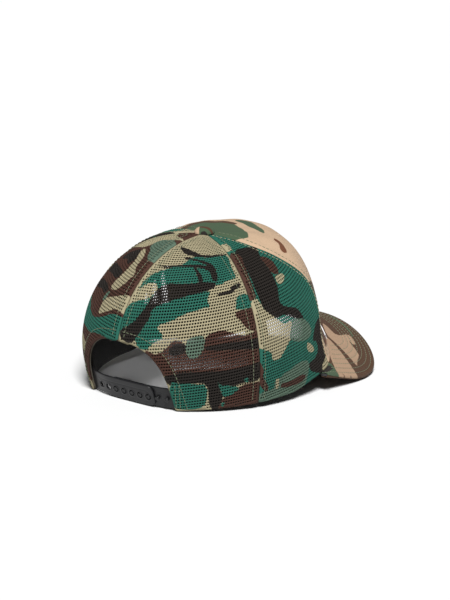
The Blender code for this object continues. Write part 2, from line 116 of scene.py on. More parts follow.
# The band lies deeper in front of the first angle, where the foam is, and behind the second, at the strap.
BAND_DEEP_FRONT = 75.0
BAND_DEEP_BACK = 132.0
BAND_DEEP_EASE = 12.0
BAND_GRID = (30, 360)

# Back opening and snap strap.
ARCH_HALF_WIDTH = 0.0405
ARCH_HEIGHT = 0.0515
ARCH_POWER = 2.65
FACING_WIDTH = 0.008
FACING = 0.0008
STRAP_LOW = 0.0008
STRAP_HIGH = 0.0178
STRAP = 0.0014
STRAP_DEPTH = 0.0028
HINGE_X = 0.0386
STRAP_BOW = 0.0040
STRAP_BOW_POWER = 3.5
STRAP_STEP = 0.0018
STRAP_STEP_END = 0.018
TAB_LENGTH = 0.014
SNAP_COUNT = 7
SNAP_PITCH = 0.0079
FIRST_HOLE_X = 0.0285
SNAP_Z = 0.0083
HOLE_RADIUS = 0.0022
FIRST_PEG_HOLE = 2
OUTER_TIP_X = -0.0243
INNER_TIP_X = 0.0172
STRAP_CORNER = 0.0052
STRAP_EDGE = 0.0005
GROOVE_RISE = 0.0048
GROOVE_TIP_GAP = 0.0032
GROOVE_OVER_SNAPS = 0.0004
GROOVE_START = 0.8
GROOVE_DEPTH = 0.00028
GROOVE_HALF_WIDTH = 0.0005
LIP_RISE = 0.00022
# Rings of points inside a strap's outline and round its holes, closest at the edge, and the grid between.
EDGE_INSETS = (0.0, 0.00012, 0.00028, 0.0005)
HOLE_INSETS = (0.0, 0.0002, 0.0005, 0.0008)
PLATE_GRID = (0.00055, 0.00045)
# Snap peg from its foot to its dimple: radius, and height over the outer strap's mid face.
PEG_PROFILE = [
    (0.0016, -STRAP_STEP + 0.0004), (0.00135, -STRAP_STEP + 0.0008), (0.0013, 0.0001), (0.0014, 0.00025),
    (0.00175, 0.0004), (0.0018, 0.0006), (0.0017, 0.00085), (0.0014, 0.00105), (0.0009, 0.0011),
    (0.0006, 0.00095), (0.0003, 0.0009),
]
PEG_SIDES = 24

# Blank tab on the visor's root: its angles, and its heights over the rim.
LABEL_START = 30.0
LABEL_END = 38.0
LABEL_LOW = 0.0012
LABEL_TOP = 0.0045
LABEL_OUT = 0.0003
LABEL_FOLD = 0.0004
LABEL_CLOTH = 0.00018
LABEL_RUN = 0.009

# Visor.
VISOR_HALF_WIDTH = 0.0872
VISOR_FRONT = 0.1441
VISOR_SIDE_START = 0.032
VISOR_POWER = 3.36
VISOR_HIGH = 0.0353
VISOR_DROP = 0.0411
VISOR_DROP_POWER = 2.17
VISOR_TILT = 0.388
VISOR_ROOT_Y = 0.0927
VISOR_TUCK = 0.0012
VISOR_THICKNESS = 0.0036
VISOR_SKIN = 0.0005
VISOR_ROWS = 7
VISOR_ROW_STEP = 0.0047

# Rows of stitches press a groove into the visor's cloth, which puffs up between them.
VISOR_GROOVE = 0.00026
VISOR_GROOVE_WIDTH = 0.0006
VISOR_PUFF = 0.00010
VISOR_PUFF_WIDTH = 0.0020
UNDER_PRINT_SHIFT = (0.012, -0.018)

# Button.
BUTTON_RADIUS = 0.008
BUTTON_HEIGHT = 0.0045
BUTTON_GAP = 0.0003
BUTTON_CLOTH = 0.0005
BUTTON_GATHERS = 0.00016

# Knit of the mesh, and sewing.
HOLE_PITCH = 0.00203
ROW_PITCH = 0.00235
KNIT_TURN = 6.0
KNIT_LEAN = 0.164
KNIT = 0.00100
HOLE = 0.00072
HOLE_EDGE = 0.00085
EDGE_MARGIN = 0.0004
FOLD_WIDTH = 0.0105
FOLD_RISE = 0.00030
SEAM_ROLL = 0.0007
SEAM_ROLL_WIDTH = 0.0020
FOLD_EASE = 0.0009
PUCKER = 0.00010
PUCKER_STEP = 0.0021
PUCKER_WIDTH = 0.003
OUTLINE_STEP = 0.0011
STITCH_LINE_STEP = 0.0009
# Waves of the worn cloth, from the broadest to the finest.
BROAD_WAVE = 0.00050
CROSS_WAVE = 0.00035
FINE_WAVE = 0.00016
STITCH = 0.0026
STITCH_STEP = 0.0034
THREAD = 0.00024
# Lines of stitches beside the seams and the arch, and up the arch's legs.
FRONT_STITCH_GAP = 0.0030
SIDE_FRONT_STITCH_GAP = 0.0040
SIDE_STITCH_GAP = 0.0042
BACK_SIDE_STITCH_GAP = 0.0062
BACK_STITCH_GAP = 0.0055
ARCH_STITCH_GAP = 0.0075
LEG_STITCHES = (0.0102, 0.0132)
LEG_STITCH_FROM = 0.002
LEG_STITCH_TO = 0.0235
VISOR_STITCH_STEP = 0.0031
VISOR_STITCH = 0.0024
FAR = 1.0
PRINT_REACH = 0.02
INK_OVERLAP = 0.0004

# Studio.
WORLD_LIGHT = 0.10
KEY_LIGHT = 5.6
FLOOR_TONE = 0.68
FLOOR_HALF = 6.0
KEY_FROM = (219.0, 52.0)
KEY_SOFTNESS = 20.0
CAMERA_FROM = (218.93, 16.40)
CAMERA_DISTANCE = 2.182
CAMERA_AIM_HEIGHT = 0.06
CAMERA_LENS = 168.5
CAMERA_SHIFT = (0.0255, -0.0035)

COLORS = {
    "khaki": (0.290, 0.255, 0.160),
    "green": (0.017, 0.098, 0.070),
    "sage": (0.080, 0.125, 0.090),
    "brown": (0.052, 0.024, 0.017),
    "black": (0.016, 0.013, 0.011),
    "tan": (0.415, 0.292, 0.192),
    "sand": (0.310, 0.205, 0.132),
    "rust": (0.115, 0.040, 0.016),
    "cocoa": (0.062, 0.030, 0.015),
    "pine": (0.047, 0.078, 0.042),
}

# Printed shapes, painted in this order: (colour, outline in millimetres). Two sage patches, marked beside
# them, are painted light rather than print.
BACK_RIGHT_PRINT = [
    ("green", [(-34, 102), (-28, 116), (-24, 130), (-14, 131), (4, 131), (9, 122), (16, 119), (28, 113),
               (38, 104), (44, 92), (30, 88), (20, 96), (-16, 100)]),
    ("green", [(-14, 82), (-10, 88), (-14, 97), (30, 90), (44, 60), (41, 50), (34, 49), (28, 53), (20, 60),
               (26, 66), (24, 69), (15, 72), (5, 78), (-6, 81)]),
    ("khaki", [(26, 99), (29, 103), (36, 101), (44, 93), (50, 83), (46, 81), (38, 86), (31, 90)]),
    ("green", [(31, 90), (38, 87), (48, 83), (54, 76), (58, 64), (58, 56), (50, 58), (42, 66), (36, 78)]),
    ("black", [(-17, 103), (-5, 104), (8, 103), (20, 103), (27, 98), (31, 90), (38, 78), (46, 68), (57, 62),
               (57, 55), (47, 52), (41, 58), (36, 66), (31, 73), (30, 80), (22, 85), (12, 89), (0, 93),
               (-10, 95), (-16, 98)]),
    ("black", [(-18, 102), (-18, 110), (-14, 117), (-5, 122), (8, 122), (28, 119), (28, 117), (8, 119),
               (-4, 118), (-11, 113), (-13, 104)]),
    ("black", [(-7, 103), (-6, 110), (-2, 116), (0, 121), (3, 120), (0, 114), (-2, 108), (-3, 103)]),
    ("black", [(-24, 131.5), (-12, 132.5), (-2, 134), (4, 138.5), (9, 142.5), (15, 143), (12, 138),
               (9, 133.5), (0, 130.5), (-12, 129.5), (-23, 129)]),
    ("black", [(9, 127), (3, 126.5), (-4, 123.5), (-9, 119), (-14, 112), (-17, 114), (-12, 122), (-6, 126.5),
               (2, 129), (9, 130.5)]),
    ("khaki", [(-39, 101), (-30, 104), (-24, 103), (-18, 98), (-13, 96), (-11, 90), (-14, 82), (-33, 84),
               (-42, 90)]),
    ("black", [(-38, 98), (-34, 99), (-28, 97), (-29, 94), (-35, 94)]),
    ("black", [(-33, 94), (-26, 94), (-17, 92), (-19, 90), (-30, 91)]),
    ("green", [(-47, 77), (-48, 84), (-42, 89), (-34, 89), (-33, 80), (-34, 77)]),
    ("brown", [(-52, 77), (-34, 77), (-33, 73), (-38, 68), (-42, 62), (-52, 58)]),
    ("brown", [(-56, 61), (-44, 57), (-38, 58), (-30, 61), (-22, 64), (-14, 62), (-9, 58), (-8, 50),
               (-2, 44), (3, 45), (4, 52), (7, 57), (13, 58), (20, 50), (27, 46), (34, 50), (36, 44),
               (28, 38), (20, 28), (-56, 28)]),
    ("sage", [(-10, 58), (-8, 61), (3, 59), (5, 52), (3, 45), (-2, 43), (-8, 48)]),
    ("khaki", [(19, 56), (22, 49), (27, 46), (34, 49), (30, 54), (24, 58)]),
    ("black", [(-56, 55), (-42, 54), (-26, 54), (-10, 53), (-9, 49), (-24, 48), (-38, 47), (-56, 45)]),
    ("black", [(4, 55), (12, 56), (18, 50), (16, 45), (8, 46), (4, 49)]),
    ("black", [(-56, 37), (-40, 34), (-20, 33), (0, 34), (12, 33), (22, 30), (18, 22), (2, 24), (-11, 24),
               (-11, 0), (-20, 0), (-22, 13), (-30, 20), (-56, 21)]),
    ("brown", [(-56, 20), (-36, 19), (-30, 13), (-22, 10), (-16, -2), (-56, -2)]),
    ("green", [(-37, 17), (-28, 20), (-20, 21), (-18, 26), (-21, 13), (-24, 10), (-29, 12)]),
    ("green", [(-44, 23), (-41, 25), (-39, 22), (-42, 20)]),
    ("green", [(-23, 6), (-20, 6), (-20, 2), (-22, 2)]),
    ("green", [(-11, 22), (0, 24), (8, 24), (17, 26), (18, 2), (-2, 1), (-9, 5)]),
]
SIDE_RIGHT_PRINT = [
    ("black", [(-12, 143), (2, 143), (-2, 136), (-8, 130), (-12, 124), (-16, 118), (-22, 112), (-26, 113),
               (-16, 122)]),
    ("black", [(-10, 125), (-4, 119), (1, 112), (3, 100), (6, 88), (12, 78), (12, 73), (6, 70), (-2, 68),
               (-6, 64), (-9, 57), (-5, 56), (2, 60), (8, 63), (15, 66), (22, 64), (28, 68), (31, 74),
               (30, 84), (27, 94), (23, 106), (20, 115), (17, 125), (10, 130), (0, 128)]),
    ("brown", [(-8, 108), (-6, 113), (0, 116), (2, 108), (3, 98), (-4, 96), (-7, 100)]),
    ("brown", [(14, 122), (18, 127), (22, 125), (28, 112), (34, 98), (39, 84), (38, 81), (32, 83), (29, 92),
               (26, 100), (20, 113)]),
    ("khaki", [(-9, 94), (-6, 96), (2, 96), (5, 90), (0, 88), (-6, 91)]),
    ("khaki", [(10, 140), (16, 140), (22, 131), (16, 129), (12, 133)]),
    ("khaki", [(31, 83), (38, 82), (43, 70), (45, 58), (46, 46), (40, 43), (35, 41), (34, 34), (28, 33),
               (24, 36), (18, 42), (12, 46), (6, 55), (8, 60), (20, 62), (26, 68), (31, 74)]),
    ("green", [(8, 62), (12, 66), (18, 66), (22, 63), (18, 59), (11, 58)]),
    # This sage patch is painted light: it copies a lighter zone where light seen through the near and far
    # mesh together shows, drawn as an ink.
    ("sage", [(-20, 44), (-15, 52), (-7, 58), (4, 60), (9, 56), (14, 47), (8, 43), (0, 41), (-12, 40)]),
    ("khaki", [(-22, 29), (-16, 35), (-9, 38), (-8, 33), (-12, 29), (-19, 27)]),
    ("black", [(-52, 49), (-30, 48), (-24, 43), (-19, 36), (-27, 34), (-30, 28), (-26, 22), (-10, 20),
               (-14, 13), (-22, 9), (-34, 5), (-52, 6)]),
    ("brown", [(-52, 44), (-43, 43), (-41, 34), (-45, 26), (-52, 24)]),
    ("sage", [(-13, 18), (-8, 24), (4, 25), (14, 22), (22, 20), (28, 16), (36, 14), (42, 8), (46, 8),
              (46, -2), (0, -2), (-8, 3), (-10, 10)]),
    ("brown", [(-9, 12), (0, 14), (12, 12), (24, 13), (24, 8), (10, 6), (-6, 7)]),
    ("khaki", [(26, 18), (30, 17), (29, 8), (25, 9)]),
    ("green", [(29, 10), (32, 19), (38, 20), (36, 8)]),
    ("brown", [(46, 36), (42, 28), (43, 22), (37, 14), (36, 8), (41, 10), (47, 20)]),
    ("khaki", [(-52, 8), (-50, 15), (-42, 15), (-33, 11), (-34, 6), (-52, 4)]),
]
BACK_LEFT_PRINT = [
    # This sage patch is painted light: it copies a lighter zone where light seen through both layers of mesh
    # shows, drawn as an ink.
    ("sage", [(-36, 120), (-28, 120), (-20, 124), (-12, 131), (-4, 133), (2, 140), (-2, 152), (-18, 148),
              (-26, 138)]),
    ("khaki", [(-18, 156), (-6, 148), (2, 142), (-2, 134), (2, 128), (14, 122), (32, 112), (40, 104),
               (36, 122), (26, 136), (16, 156)]),
    ("green", [(22, 150), (20, 138), (28, 126), (36, 118), (32, 134)]),
    ("khaki", [(-3, 129), (-10, 128), (-18, 122), (-24, 112), (-33, 106), (-33, 98), (-30, 88), (-21, 88),
               (-20, 98), (-19, 108), (-14, 118), (-6, 124)]),
    ("black", [(-14, 118), (-4, 126), (4, 124), (14, 112), (9, 107), (-3, 114), (-13, 109)]),
    ("black", [(-19, 104), (-6, 105), (12, 103), (20, 96), (10, 94), (-4, 97), (-19, 96)]),
    ("black", [(-20, 88), (-8, 90), (8, 88), (16, 80), (4, 80), (-8, 84), (-20, 82)]),
    ("khaki", [(-58, 86), (-44, 88), (-34, 84), (-24, 80), (-26, 66), (-34, 70), (-44, 76), (-58, 72)]),
    ("sage", [(-26, 85), (-22, 86), (-21, 78), (-25, 77)]),
    ("green", [(-60, 70), (-44, 72), (-34, 66), (-20, 62), (-4, 66), (10, 72), (22, 66), (34, 62), (30, 52),
               (12, 48), (-6, 52), (-22, 50), (-36, 54), (-60, 50)]),
    ("khaki", [(24, 96), (34, 92), (44, 84), (52, 70), (54, 52), (44, 46), (38, 56), (36, 68), (26, 78),
               (20, 86)]),
    ("black", [(40, 44), (54, 40), (56, 22), (44, 26), (30, 22), (18, 26), (8, 20), (-4, 22), (0, 30),
               (14, 36), (28, 34)]),
    ("khaki", [(-16, 40), (-2, 44), (14, 40), (26, 44), (30, 40), (14, 36), (0, 32), (-14, 32)]),
    ("green", [(4, 16), (16, 18), (30, 14), (44, 18), (56, 12), (56, -2), (24, -2), (10, 4)]),
    ("khaki", [(-14, 12), (-4, 14), (6, 8), (4, -2), (-18, -2)]),
]
FRONT_PRINT = [
    ("cocoa", [(-58, 190), (-52, 164), (-38, 150), (-20, 145), (-4, 144.5), (4, 148), (0, 152), (-8, 158),
               (-20, 166), (-26, 190)]),
    ("pine", [(-40, 190), (-36, 170), (-27, 158), (-14, 151.5), (-2, 149.5), (8, 152), (17, 153), (30, 152),
              (38, 151), (36, 162), (26, 172), (14, 190)]),
    ("pine", [(-8, 138), (0, 142), (10, 143.5), (20, 142.5), (28, 140), (32, 137), (25, 135), (12, 134),
              (2, 132), (-6, 133)]),
    ("rust", [(40, 130), (45, 130.5), (50, 126), (57, 125), (63, 121), (62, 117), (53, 120.5), (46, 124)]),
    ("pine", [(-70, 120), (-50, 128), (-34, 124), (-26, 112), (-36, 104), (-50, 108), (-70, 104)]),
    ("cocoa", [(-24, 126), (-14, 120), (-10, 108), (-18, 96), (-30, 92), (-26, 104), (-20, 112)]),
    ("cocoa", [(74, 84), (66, 74), (60, 64), (52, 60), (38, 64), (28, 72), (18, 68), (22, 56), (36, 50),
               (50, 48), (58, 38), (60, 20), (90, 20), (90, 84)]),
    ("pine", [(6, 104), (18, 108), (32, 104), (40, 94), (30, 88), (16, 92), (4, 94)]),
    ("cocoa", [(-70, 82), (-54, 88), (-40, 82), (-30, 70), (-20, 66), (-24, 56), (-40, 54), (-52, 60),
               (-70, 58)]),
    ("pine", [(-12, 84), (0, 80), (10, 70), (6, 56), (-6, 52), (-14, 62), (-10, 72)]),
    ("cocoa", [(4, 50), (14, 46), (26, 40), (34, 30), (24, 30), (10, 38), (-2, 44)]),
    ("pine", [(-60, 46), (-44, 48), (-30, 42), (-26, 32), (-70, 30)]),
    ("rust", [(62, 56), (68, 52), (76, 40), (82, 20), (68, 20), (64, 40)]),
    ("pine", [(64, 36), (70, 38), (74, 32), (72, 24), (65, 26)]),
]
VISOR_PRINT = [
    ("sand", [(-90, -51), (-80, -57), (-70, -63), (-63, -69), (-52, -80.5), (-58, -83), (-70, -83.5),
             (-80, -82), (-90, -78)]),
    ("sand", [(-77, -91), (-70, -90.5), (-58, -87), (-51, -84), (-36, -98), (-40, -99.5), (-48, -98),
             (-49.5, -103), (-48, -112), (-47, -118), (-50, -120.5), (-56, -117), (-58, -112),
             (-53, -109.5), (-66, -108), (-70, -101), (-74, -94)]),
    ("pine", [(-92, -36), (-74, -36), (-70, -52), (-78, -58), (-84, -54), (-92, -51)]),
    ("black", [(-84, -38), (-79, -38), (-76, -54), (-80, -56), (-82, -48)]),
    ("black", [(-92, -66), (-86, -68), (-84, -71), (-92, -73)]),
    ("cocoa", [(-92, -60), (-85, -59), (-83, -61), (-92, -63)]),
    ("pine", [(-14, -133), (-30, -130), (-45, -124.5), (-50, -121), (-46, -127), (-32, -132.5),
              (-16, -137)]),
    ("pine", [(-88, -76), (-87, -95), (-80, -113), (-69, -128), (-54, -138), (-30, -146), (-42, -140),
              (-62, -131.5), (-76, -117), (-83, -100), (-85.5, -84)]),
    ("sand", [(-16, -100), (-6, -108), (6, -106), (14, -98), (26, -100), (34, -110), (26, -118), (10, -120),
             (-4, -124), (-14, -114)]),
    ("pine", [(34, -86), (46, -90), (56, -100), (54, -112), (44, -104), (34, -98)]),
    ("sand", [(52, -60), (62, -66), (74, -64), (90, -70), (90, -84), (74, -86), (64, -78), (54, -72)]),
    ("black", [(60, -96), (70, -98), (78, -108), (70, -118), (64, -108)]),
    ("pine", [(72, -34), (92, -34), (92, -50), (80, -54), (70, -46)]),
    ("sand", [(30, -128), (44, -126), (58, -130), (50, -140), (30, -146)]),
]
BUTTON_PRINT = [
    ("black", [(-9, 4), (-5, 4.5), (-2, 6.5), (-3, 9), (-9, 9)]),
    ("cocoa", [(-9, 1), (-4, 2), (3, 3.5), (9, 3), (9, 0.5), (2, 0), (-3, -1.5), (-9, -1)]),
    ("tan", [(-2, 9), (0.2, 6.4), (2.4, 3.2), (4.2, 0.4), (6.5, -3), (9, -3), (9, 9)]),
]


def smooth(value):
    value = np.clip(value, 0.0, 1.0)
    return value * value * (3.0 - 2.0 * value)


# ---------------------------------------------------------------- the crown's shape


def front_angle(phi):
    """Angle from the front in degrees, the same on both sides."""
    return np.degrees(np.abs((phi + np.pi) % (2 * np.pi) - np.pi))


def rim_height(phi):
    angle = front_angle(phi)
    inside = np.clip(angle / ROOT_END, 0.0, 1.0)
    arch = ROOT_END_HEIGHT + ROOT_RISE * np.cos(inside * np.pi / 2) ** ROOT_POWER
    fall = smooth((RIM_FLAT_FROM - angle) / (RIM_FLAT_FROM - ROOT_END))
    return np.where(angle <= ROOT_END, arch, ROOT_END_HEIGHT * fall)


def roundness_power(phi):
    front = np.clip(np.cos(phi), 0, 1) ** 2
    back = np.clip(-np.cos(phi), 0, 1) ** 2
    return 2.0 / (FRONT_ROUND * front + SIDE_ROUND * np.sin(phi) ** 2 + BACK_ROUND * back)


def plan_radius(phi):
    reach = np.where(np.cos(phi) > 0, FRONT_REACH, BACK_REACH)
    return ((np.sin(phi) / HALF_WIDTH) ** 2 + (np.cos(phi) / reach) ** 2) ** -0.5


def crown_point(phi, climb):
    """Point on the crown's outer face. climb is 0 at the rim's plane and 1 at the top."""
    power = roundness_power(phi)
    across = np.cos(climb * np.pi / 2)
    upward = np.sin(climb * np.pi / 2)
    scale = (across**power + upward**power) ** (-1.0 / power)
    rise = upward * scale
    above = np.clip((rise * CROWN_HEIGHT - rim_height(phi)) / FLARE_RISE, 0.0, 1.0)
    turn = smooth((FLARE_FROM - front_angle(phi)) / (FLARE_FROM - FLARE_FULL))
    flare = FLARE * turn * (1 - above) ** 2
    radius = plan_radius(phi) * across * scale * (1 + BULGE * rise * (1 - rise)) * (1 + flare)
    x = -radius * np.sin(phi)
    y = -radius * np.cos(phi) + TOP_SHIFT * rise
    return np.stack([x, y, rise * CROWN_HEIGHT], axis=-1)


def relief(phi, climb):
    """How far the worn cloth stands off the smooth shape: a few broad, shallow waves."""
    calm = smooth(climb * 4.0) * smooth((1 - climb) * 5.0)
    broad = BROAD_WAVE * np.sin(3.0 * phi + 4.4 * climb + 0.9)
    cross = CROSS_WAVE * np.sin(7.0 * phi - 5.2 * climb + 2.1) * np.sin(6.5 * climb + 0.4)
    fine = FINE_WAVE * np.sin(17.0 * phi + 9.0 * climb)
    return calm * (broad + cross + fine)


def outward(phi, climb):
    step = 1e-4
    along = crown_point(phi + step, climb) - crown_point(phi - step, climb)
    upward = crown_point(phi, climb + step) - crown_point(phi, climb - step)
    normal = np.cross(upward, along)
    return normal / np.linalg.norm(normal, axis=-1, keepdims=True)


def skin(phi, climb, depth, worn=1.0):
    """Point at a depth under the crown's outer face, with a share of the worn cloth's relief."""
    phi, climb, depth = np.broadcast_arrays(*(np.asarray(part, float) for part in (phi, climb, depth)))
    out = (relief(phi, climb) * worn - depth)[..., None]
    return crown_point(phi, climb) + outward(phi, climb) * out


def climb_at_height(phi, height):
    power = roundness_power(phi)
    rise = np.clip(height / CROWN_HEIGHT, 0, 1)
    return np.arctan2(rise, (1 - rise**power) ** (1 / power)) * 2 / np.pi


def climb_at_radius(phi, radius):
    power = roundness_power(phi)
    reach = np.clip(radius / plan_radius(phi), 0, 1)
    return np.arctan2((1 - reach**power) ** (1 / power), reach) * 2 / np.pi


def angle_at_x(x, height, depth):
    """Angle at which the back of the crown, at a depth, passes a given x."""
    x, height = np.broadcast_arrays(np.asarray(x, float), np.asarray(height, float))
    low = np.full(x.shape, np.pi / 2)
    high = np.full(x.shape, 1.5 * np.pi)
    for _ in range(40):
        middle = (low + high) / 2
        beyond = skin(middle, climb_at_height(middle, height), depth)[..., 0] > x
        high = np.where(beyond, middle, high)
        low = np.where(beyond, low, middle)
    return (low + high) / 2


def seam_climb(phi, share, low=SEAM_GAP, radius=EYELET_RADIUS):
    start = climb_at_height(phi, rim_height(phi) + low)
    return start + (climb_at_radius(phi, radius) - start) * share


def front_seam(share):
    phi = np.full(np.shape(share), math.radians(FRONT_SEAM_LOW))
    for _ in range(6):
        rise = crown_point(phi, seam_climb(phi, share))[..., 2] / CROWN_HEIGHT
        turn = np.clip((rise - FRONT_SEAM_BEND) / (1 - FRONT_SEAM_BEND), 0, 1) ** 2
        phi = np.radians(FRONT_SEAM_LOW + FRONT_SEAM_TURN * turn)
    return phi


def minus_front_seam(share):
    return -front_seam(share)


def side_seam(share):
    return np.full(np.shape(share), math.radians(SIDE_SEAM))


def back_seam(share):
    return np.full(np.shape(share), math.pi)


def arch_outline(angle, grow):
    """Points (x, z) of the arch, from the wearer's right leg over the top to the left leg."""
    across = np.cos(angle)
    upward = np.sin(angle)
    scale = (np.abs(across) ** ARCH_POWER + np.abs(upward) ** ARCH_POWER) ** (-1 / ARCH_POWER)
    return -(ARCH_HALF_WIDTH + grow) * across * scale, (ARCH_HEIGHT + grow) * upward * scale


def standing():
    """Matrix from the cap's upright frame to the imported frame, from the visor cover's box."""
    tip = Matrix.Rotation(-math.radians(REST_PITCH), 4, "X")
    top = visor_surface(31, np.linspace(0, 1, 8)).reshape(-1, 3) @ np.array(tip.to_3x3()).T
    low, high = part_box("visor_top_cover")
    shift = (0.0, low.y - top[:, 1].min(), high.z - top[:, 2].max())
    return Matrix.Translation(shift) @ tip


class Panel:
    """One crown panel laid flat: u runs round the crown and v up it, in metres."""

    def __init__(self, centre):
        self.centre = math.radians(centre)
        self.climbs = np.linspace(0, 1, 1201)
        points = crown_point(np.full(self.climbs.shape, self.centre), self.climbs)
        steps = np.linalg.norm(np.diff(points, axis=0), axis=1)
        self.lengths = np.concatenate([[0.0], np.cumsum(steps)])

    def radius(self, phi, climb):
        point = crown_point((phi + self.centre) / 2, climb)
        axis_y = TOP_SHIFT * point[..., 2] / CROWN_HEIGHT
        return np.maximum(np.hypot(point[..., 0], point[..., 1] - axis_y), 1e-6)

    def flat(self, phi, climb):
        u = (phi - self.centre) * self.radius(phi, climb)
        return np.stack([u, np.interp(climb, self.climbs, self.lengths)], axis=-1)

    def place(self, flat):
        climb = np.interp(flat[..., 1], self.lengths, self.climbs)
        phi = np.full(climb.shape, self.centre)
        for _ in range(8):
            phi = self.centre + flat[..., 0] / self.radius(phi, climb)
        return phi, climb


# ---------------------------------------------------------------- flat geometry


def polygon_edges(outline):
    return outline, np.roll(outline, -1, axis=0)


def distance_to_edges(points, starts, ends):
    """Distance from each point to the nearest of the edges."""
    nearest = np.full(len(points), FAR)
    for start, end in zip(starts, ends):
        along = end - start
        share = np.clip((points - start) @ along / max(along @ along, 1e-18), 0, 1)
        away = np.hypot(*(points - start - share[:, None] * along).T)
        nearest = np.minimum(nearest, away)
    return nearest


def inside_polygon(points, outline):
    inside = np.zeros(len(points), bool)
    for start, end in zip(*polygon_edges(outline)):
        crosses = (start[1] > points[:, 1]) != (end[1] > points[:, 1])
        rise = end[1] - start[1]
        if rise == 0:
            continue
        at = start[0] + (points[:, 1] - start[1]) / rise * (end[0] - start[0])
        inside ^= crosses & (points[:, 0] < at)
    return inside


def signed_distance(points, outline):
    """Distance to a closed outline, negative inside."""
    away = distance_to_edges(points, *polygon_edges(outline))
    return np.where(inside_polygon(points, outline), -away, away)


def rounded(outline):
    """The outline with its corners cut once, so that printed shapes flow."""
    here, there = polygon_edges(outline)
    return np.stack([here * 0.78 + there * 0.22, here * 0.22 + there * 0.78], axis=1).reshape(-1, 2)


def inks_of(shapes, ground):
    return sorted({color for color, _ in shapes} - {ground})


def paint(shapes, points, ground):
    """Signed distance to each ink's printed area, for shapes painted one over another."""
    inks = inks_of(shapes, ground)
    fields = {ink: np.full(len(points), PRINT_REACH) for ink in inks}
    for color, outline in shapes:
        edge = rounded(np.array(outline, float) / 1000)
        low, high = edge.min(axis=0) - PRINT_REACH, edge.max(axis=0) + PRINT_REACH
        near = np.all((points > low) & (points < high), axis=1)
        away = np.full(len(points), PRINT_REACH)
        away[near] = signed_distance(points[near], edge)
        for ink in inks:
            if ink == color:
                fields[ink] = np.minimum(fields[ink], away)
            else:
                fields[ink] = np.maximum(fields[ink], -away - INK_OVERLAP)
    return fields


def resampled(line, step):
    """Points a step apart along a line of points."""
    lengths = np.concatenate([[0.0], np.cumsum(np.linalg.norm(np.diff(line, axis=0), axis=1))])
    count = max(int(round(lengths[-1] / step)), 2)
    at = np.linspace(0, lengths[-1], count + 1)
    return np.stack([np.interp(at, lengths, line[:, axis]) for axis in range(line.shape[1])], axis=1)


def beside(line, distance):
    """A flat line moved sideways to its left."""
    along = np.gradient(line, axis=0)
    along /= np.linalg.norm(along, axis=1, keepdims=True)
    return line + np.stack([-along[:, 1], along[:, 0]], axis=1) * distance


# ---------------------------------------------------------------- objects


def new_object(name, points, faces, material, body="crown", flat=None, sides=None, fields=None):
    """Mesh from upright-frame points, with its flat coordinates and ink fields as attributes."""
    world = np.asarray(points, float) @ np.array(STAND.to_3x3()).T + np.array(STAND.translation)
    mesh = bpy.data.meshes.new(name)
    mesh.from_pydata(world.tolist(), [], [face for part in faces for face in part.tolist()])
    mesh.materials.append(material)
    mesh.shade_smooth()
    if flat is not None:
        add_flat(mesh, flat, sides)
    for key, values in (fields or {}).items():
        made = mesh.attributes.new(key, "FLOAT", "POINT")
        made.data.foreach_set("value", np.asarray(values, np.float32))
    made = bpy.data.objects.new(name, mesh)
    bpy.context.scene.collection.objects.link(made)
    if body:
        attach(made, body)
    return made


def add_flat(mesh, flat, sides):
    """Flat coordinates as an attribute for the weave, and as a map with the two sides apart."""
    cloth = mesh.attributes.new("cloth", "FLOAT_VECTOR", "POINT")
    spread = np.zeros((len(flat), 3), np.float32)
    spread[:, :2] = flat
    cloth.data.foreach_set("vector", spread.ravel())
    corners = np.empty(len(mesh.loops), np.int64)
    mesh.loops.foreach_get("vertex_index", corners)
    counts = np.empty(len(mesh.polygons), np.int64)
    mesh.polygons.foreach_get("loop_total", counts)
    size = np.ptp(flat, axis=0).max() * 1.02
    places = (flat - flat.min(axis=0)) / size
    slots = int(np.max(sides)) + 1
    at = places[corners] / (slots, 1.0)
    at[:, 0] += np.repeat(sides, counts) / slots
    layer = mesh.uv_layers.new(name="OFBake")
    layer.uv.foreach_set("vector", at.astype(np.float32).ravel())


def slab(face, back):
    """Closed plate between two equal grids of points: its points, faces and each face's side."""
    rows, columns = face.shape[:2]
    index = np.arange(rows * columns).reshape(rows, columns)
    quads = np.stack([index[:-1, :-1], index[:-1, 1:], index[1:, 1:], index[1:, :-1]], axis=-1)
    quads = quads.reshape(-1, 4)
    loop = np.concatenate([index[0], index[1:, -1], index[-1, -2::-1], index[-2:0:-1, 0]])
    behind = rows * columns
    after = np.roll(loop, -1)
    walls = np.stack([after, loop, loop + behind, after + behind], axis=-1)
    points = np.concatenate([face.reshape(-1, 3), back.reshape(-1, 3)])
    faces = np.concatenate([quads, quads[:, ::-1] + behind, walls])
    # The grid's first corner tells whether its faces point away from the back grid.
    out = np.cross(face[0, 1] - face[0, 0], face[1, 0] - face[0, 0]) @ (face[0, 0] - back[0, 0])
    if out < 0:
        faces = np.ascontiguousarray(faces[:, ::-1])
    sides = np.concatenate([np.zeros(len(quads)), np.ones(len(quads)), np.ones(len(walls))])
    return points, [faces], sides


def mirrored(points, faces):
    return points * np.array([-1.0, 1.0, 1.0]), [np.ascontiguousarray(part[:, ::-1]) for part in faces]


# ---------------------------------------------------------------- the mesh cloth


def zipper(outer, inner):
    """Triangles joining two rings given by their angles. Inner corners count on from the outer ones."""
    around = len(outer)
    triangles = []
    i, j = 0, 0
    while i < around or j < len(inner):
        next_outer = outer[(i + 1) % around] + (360 if i + 1 >= around else 0)
        next_inner = inner[(j + 1) % len(inner)] + (360 if j + 1 >= len(inner) else 0)
        here = (i % around, around + j % len(inner))
        if j == len(inner) or (i < around and next_outer < next_inner):
            triangles.append((here[0], (i + 1) % around, here[1]))
            i += 1
        else:
            triangles.append((here[0], around + (j + 1) % len(inner), here[1]))
            j += 1
    return np.array(triangles)


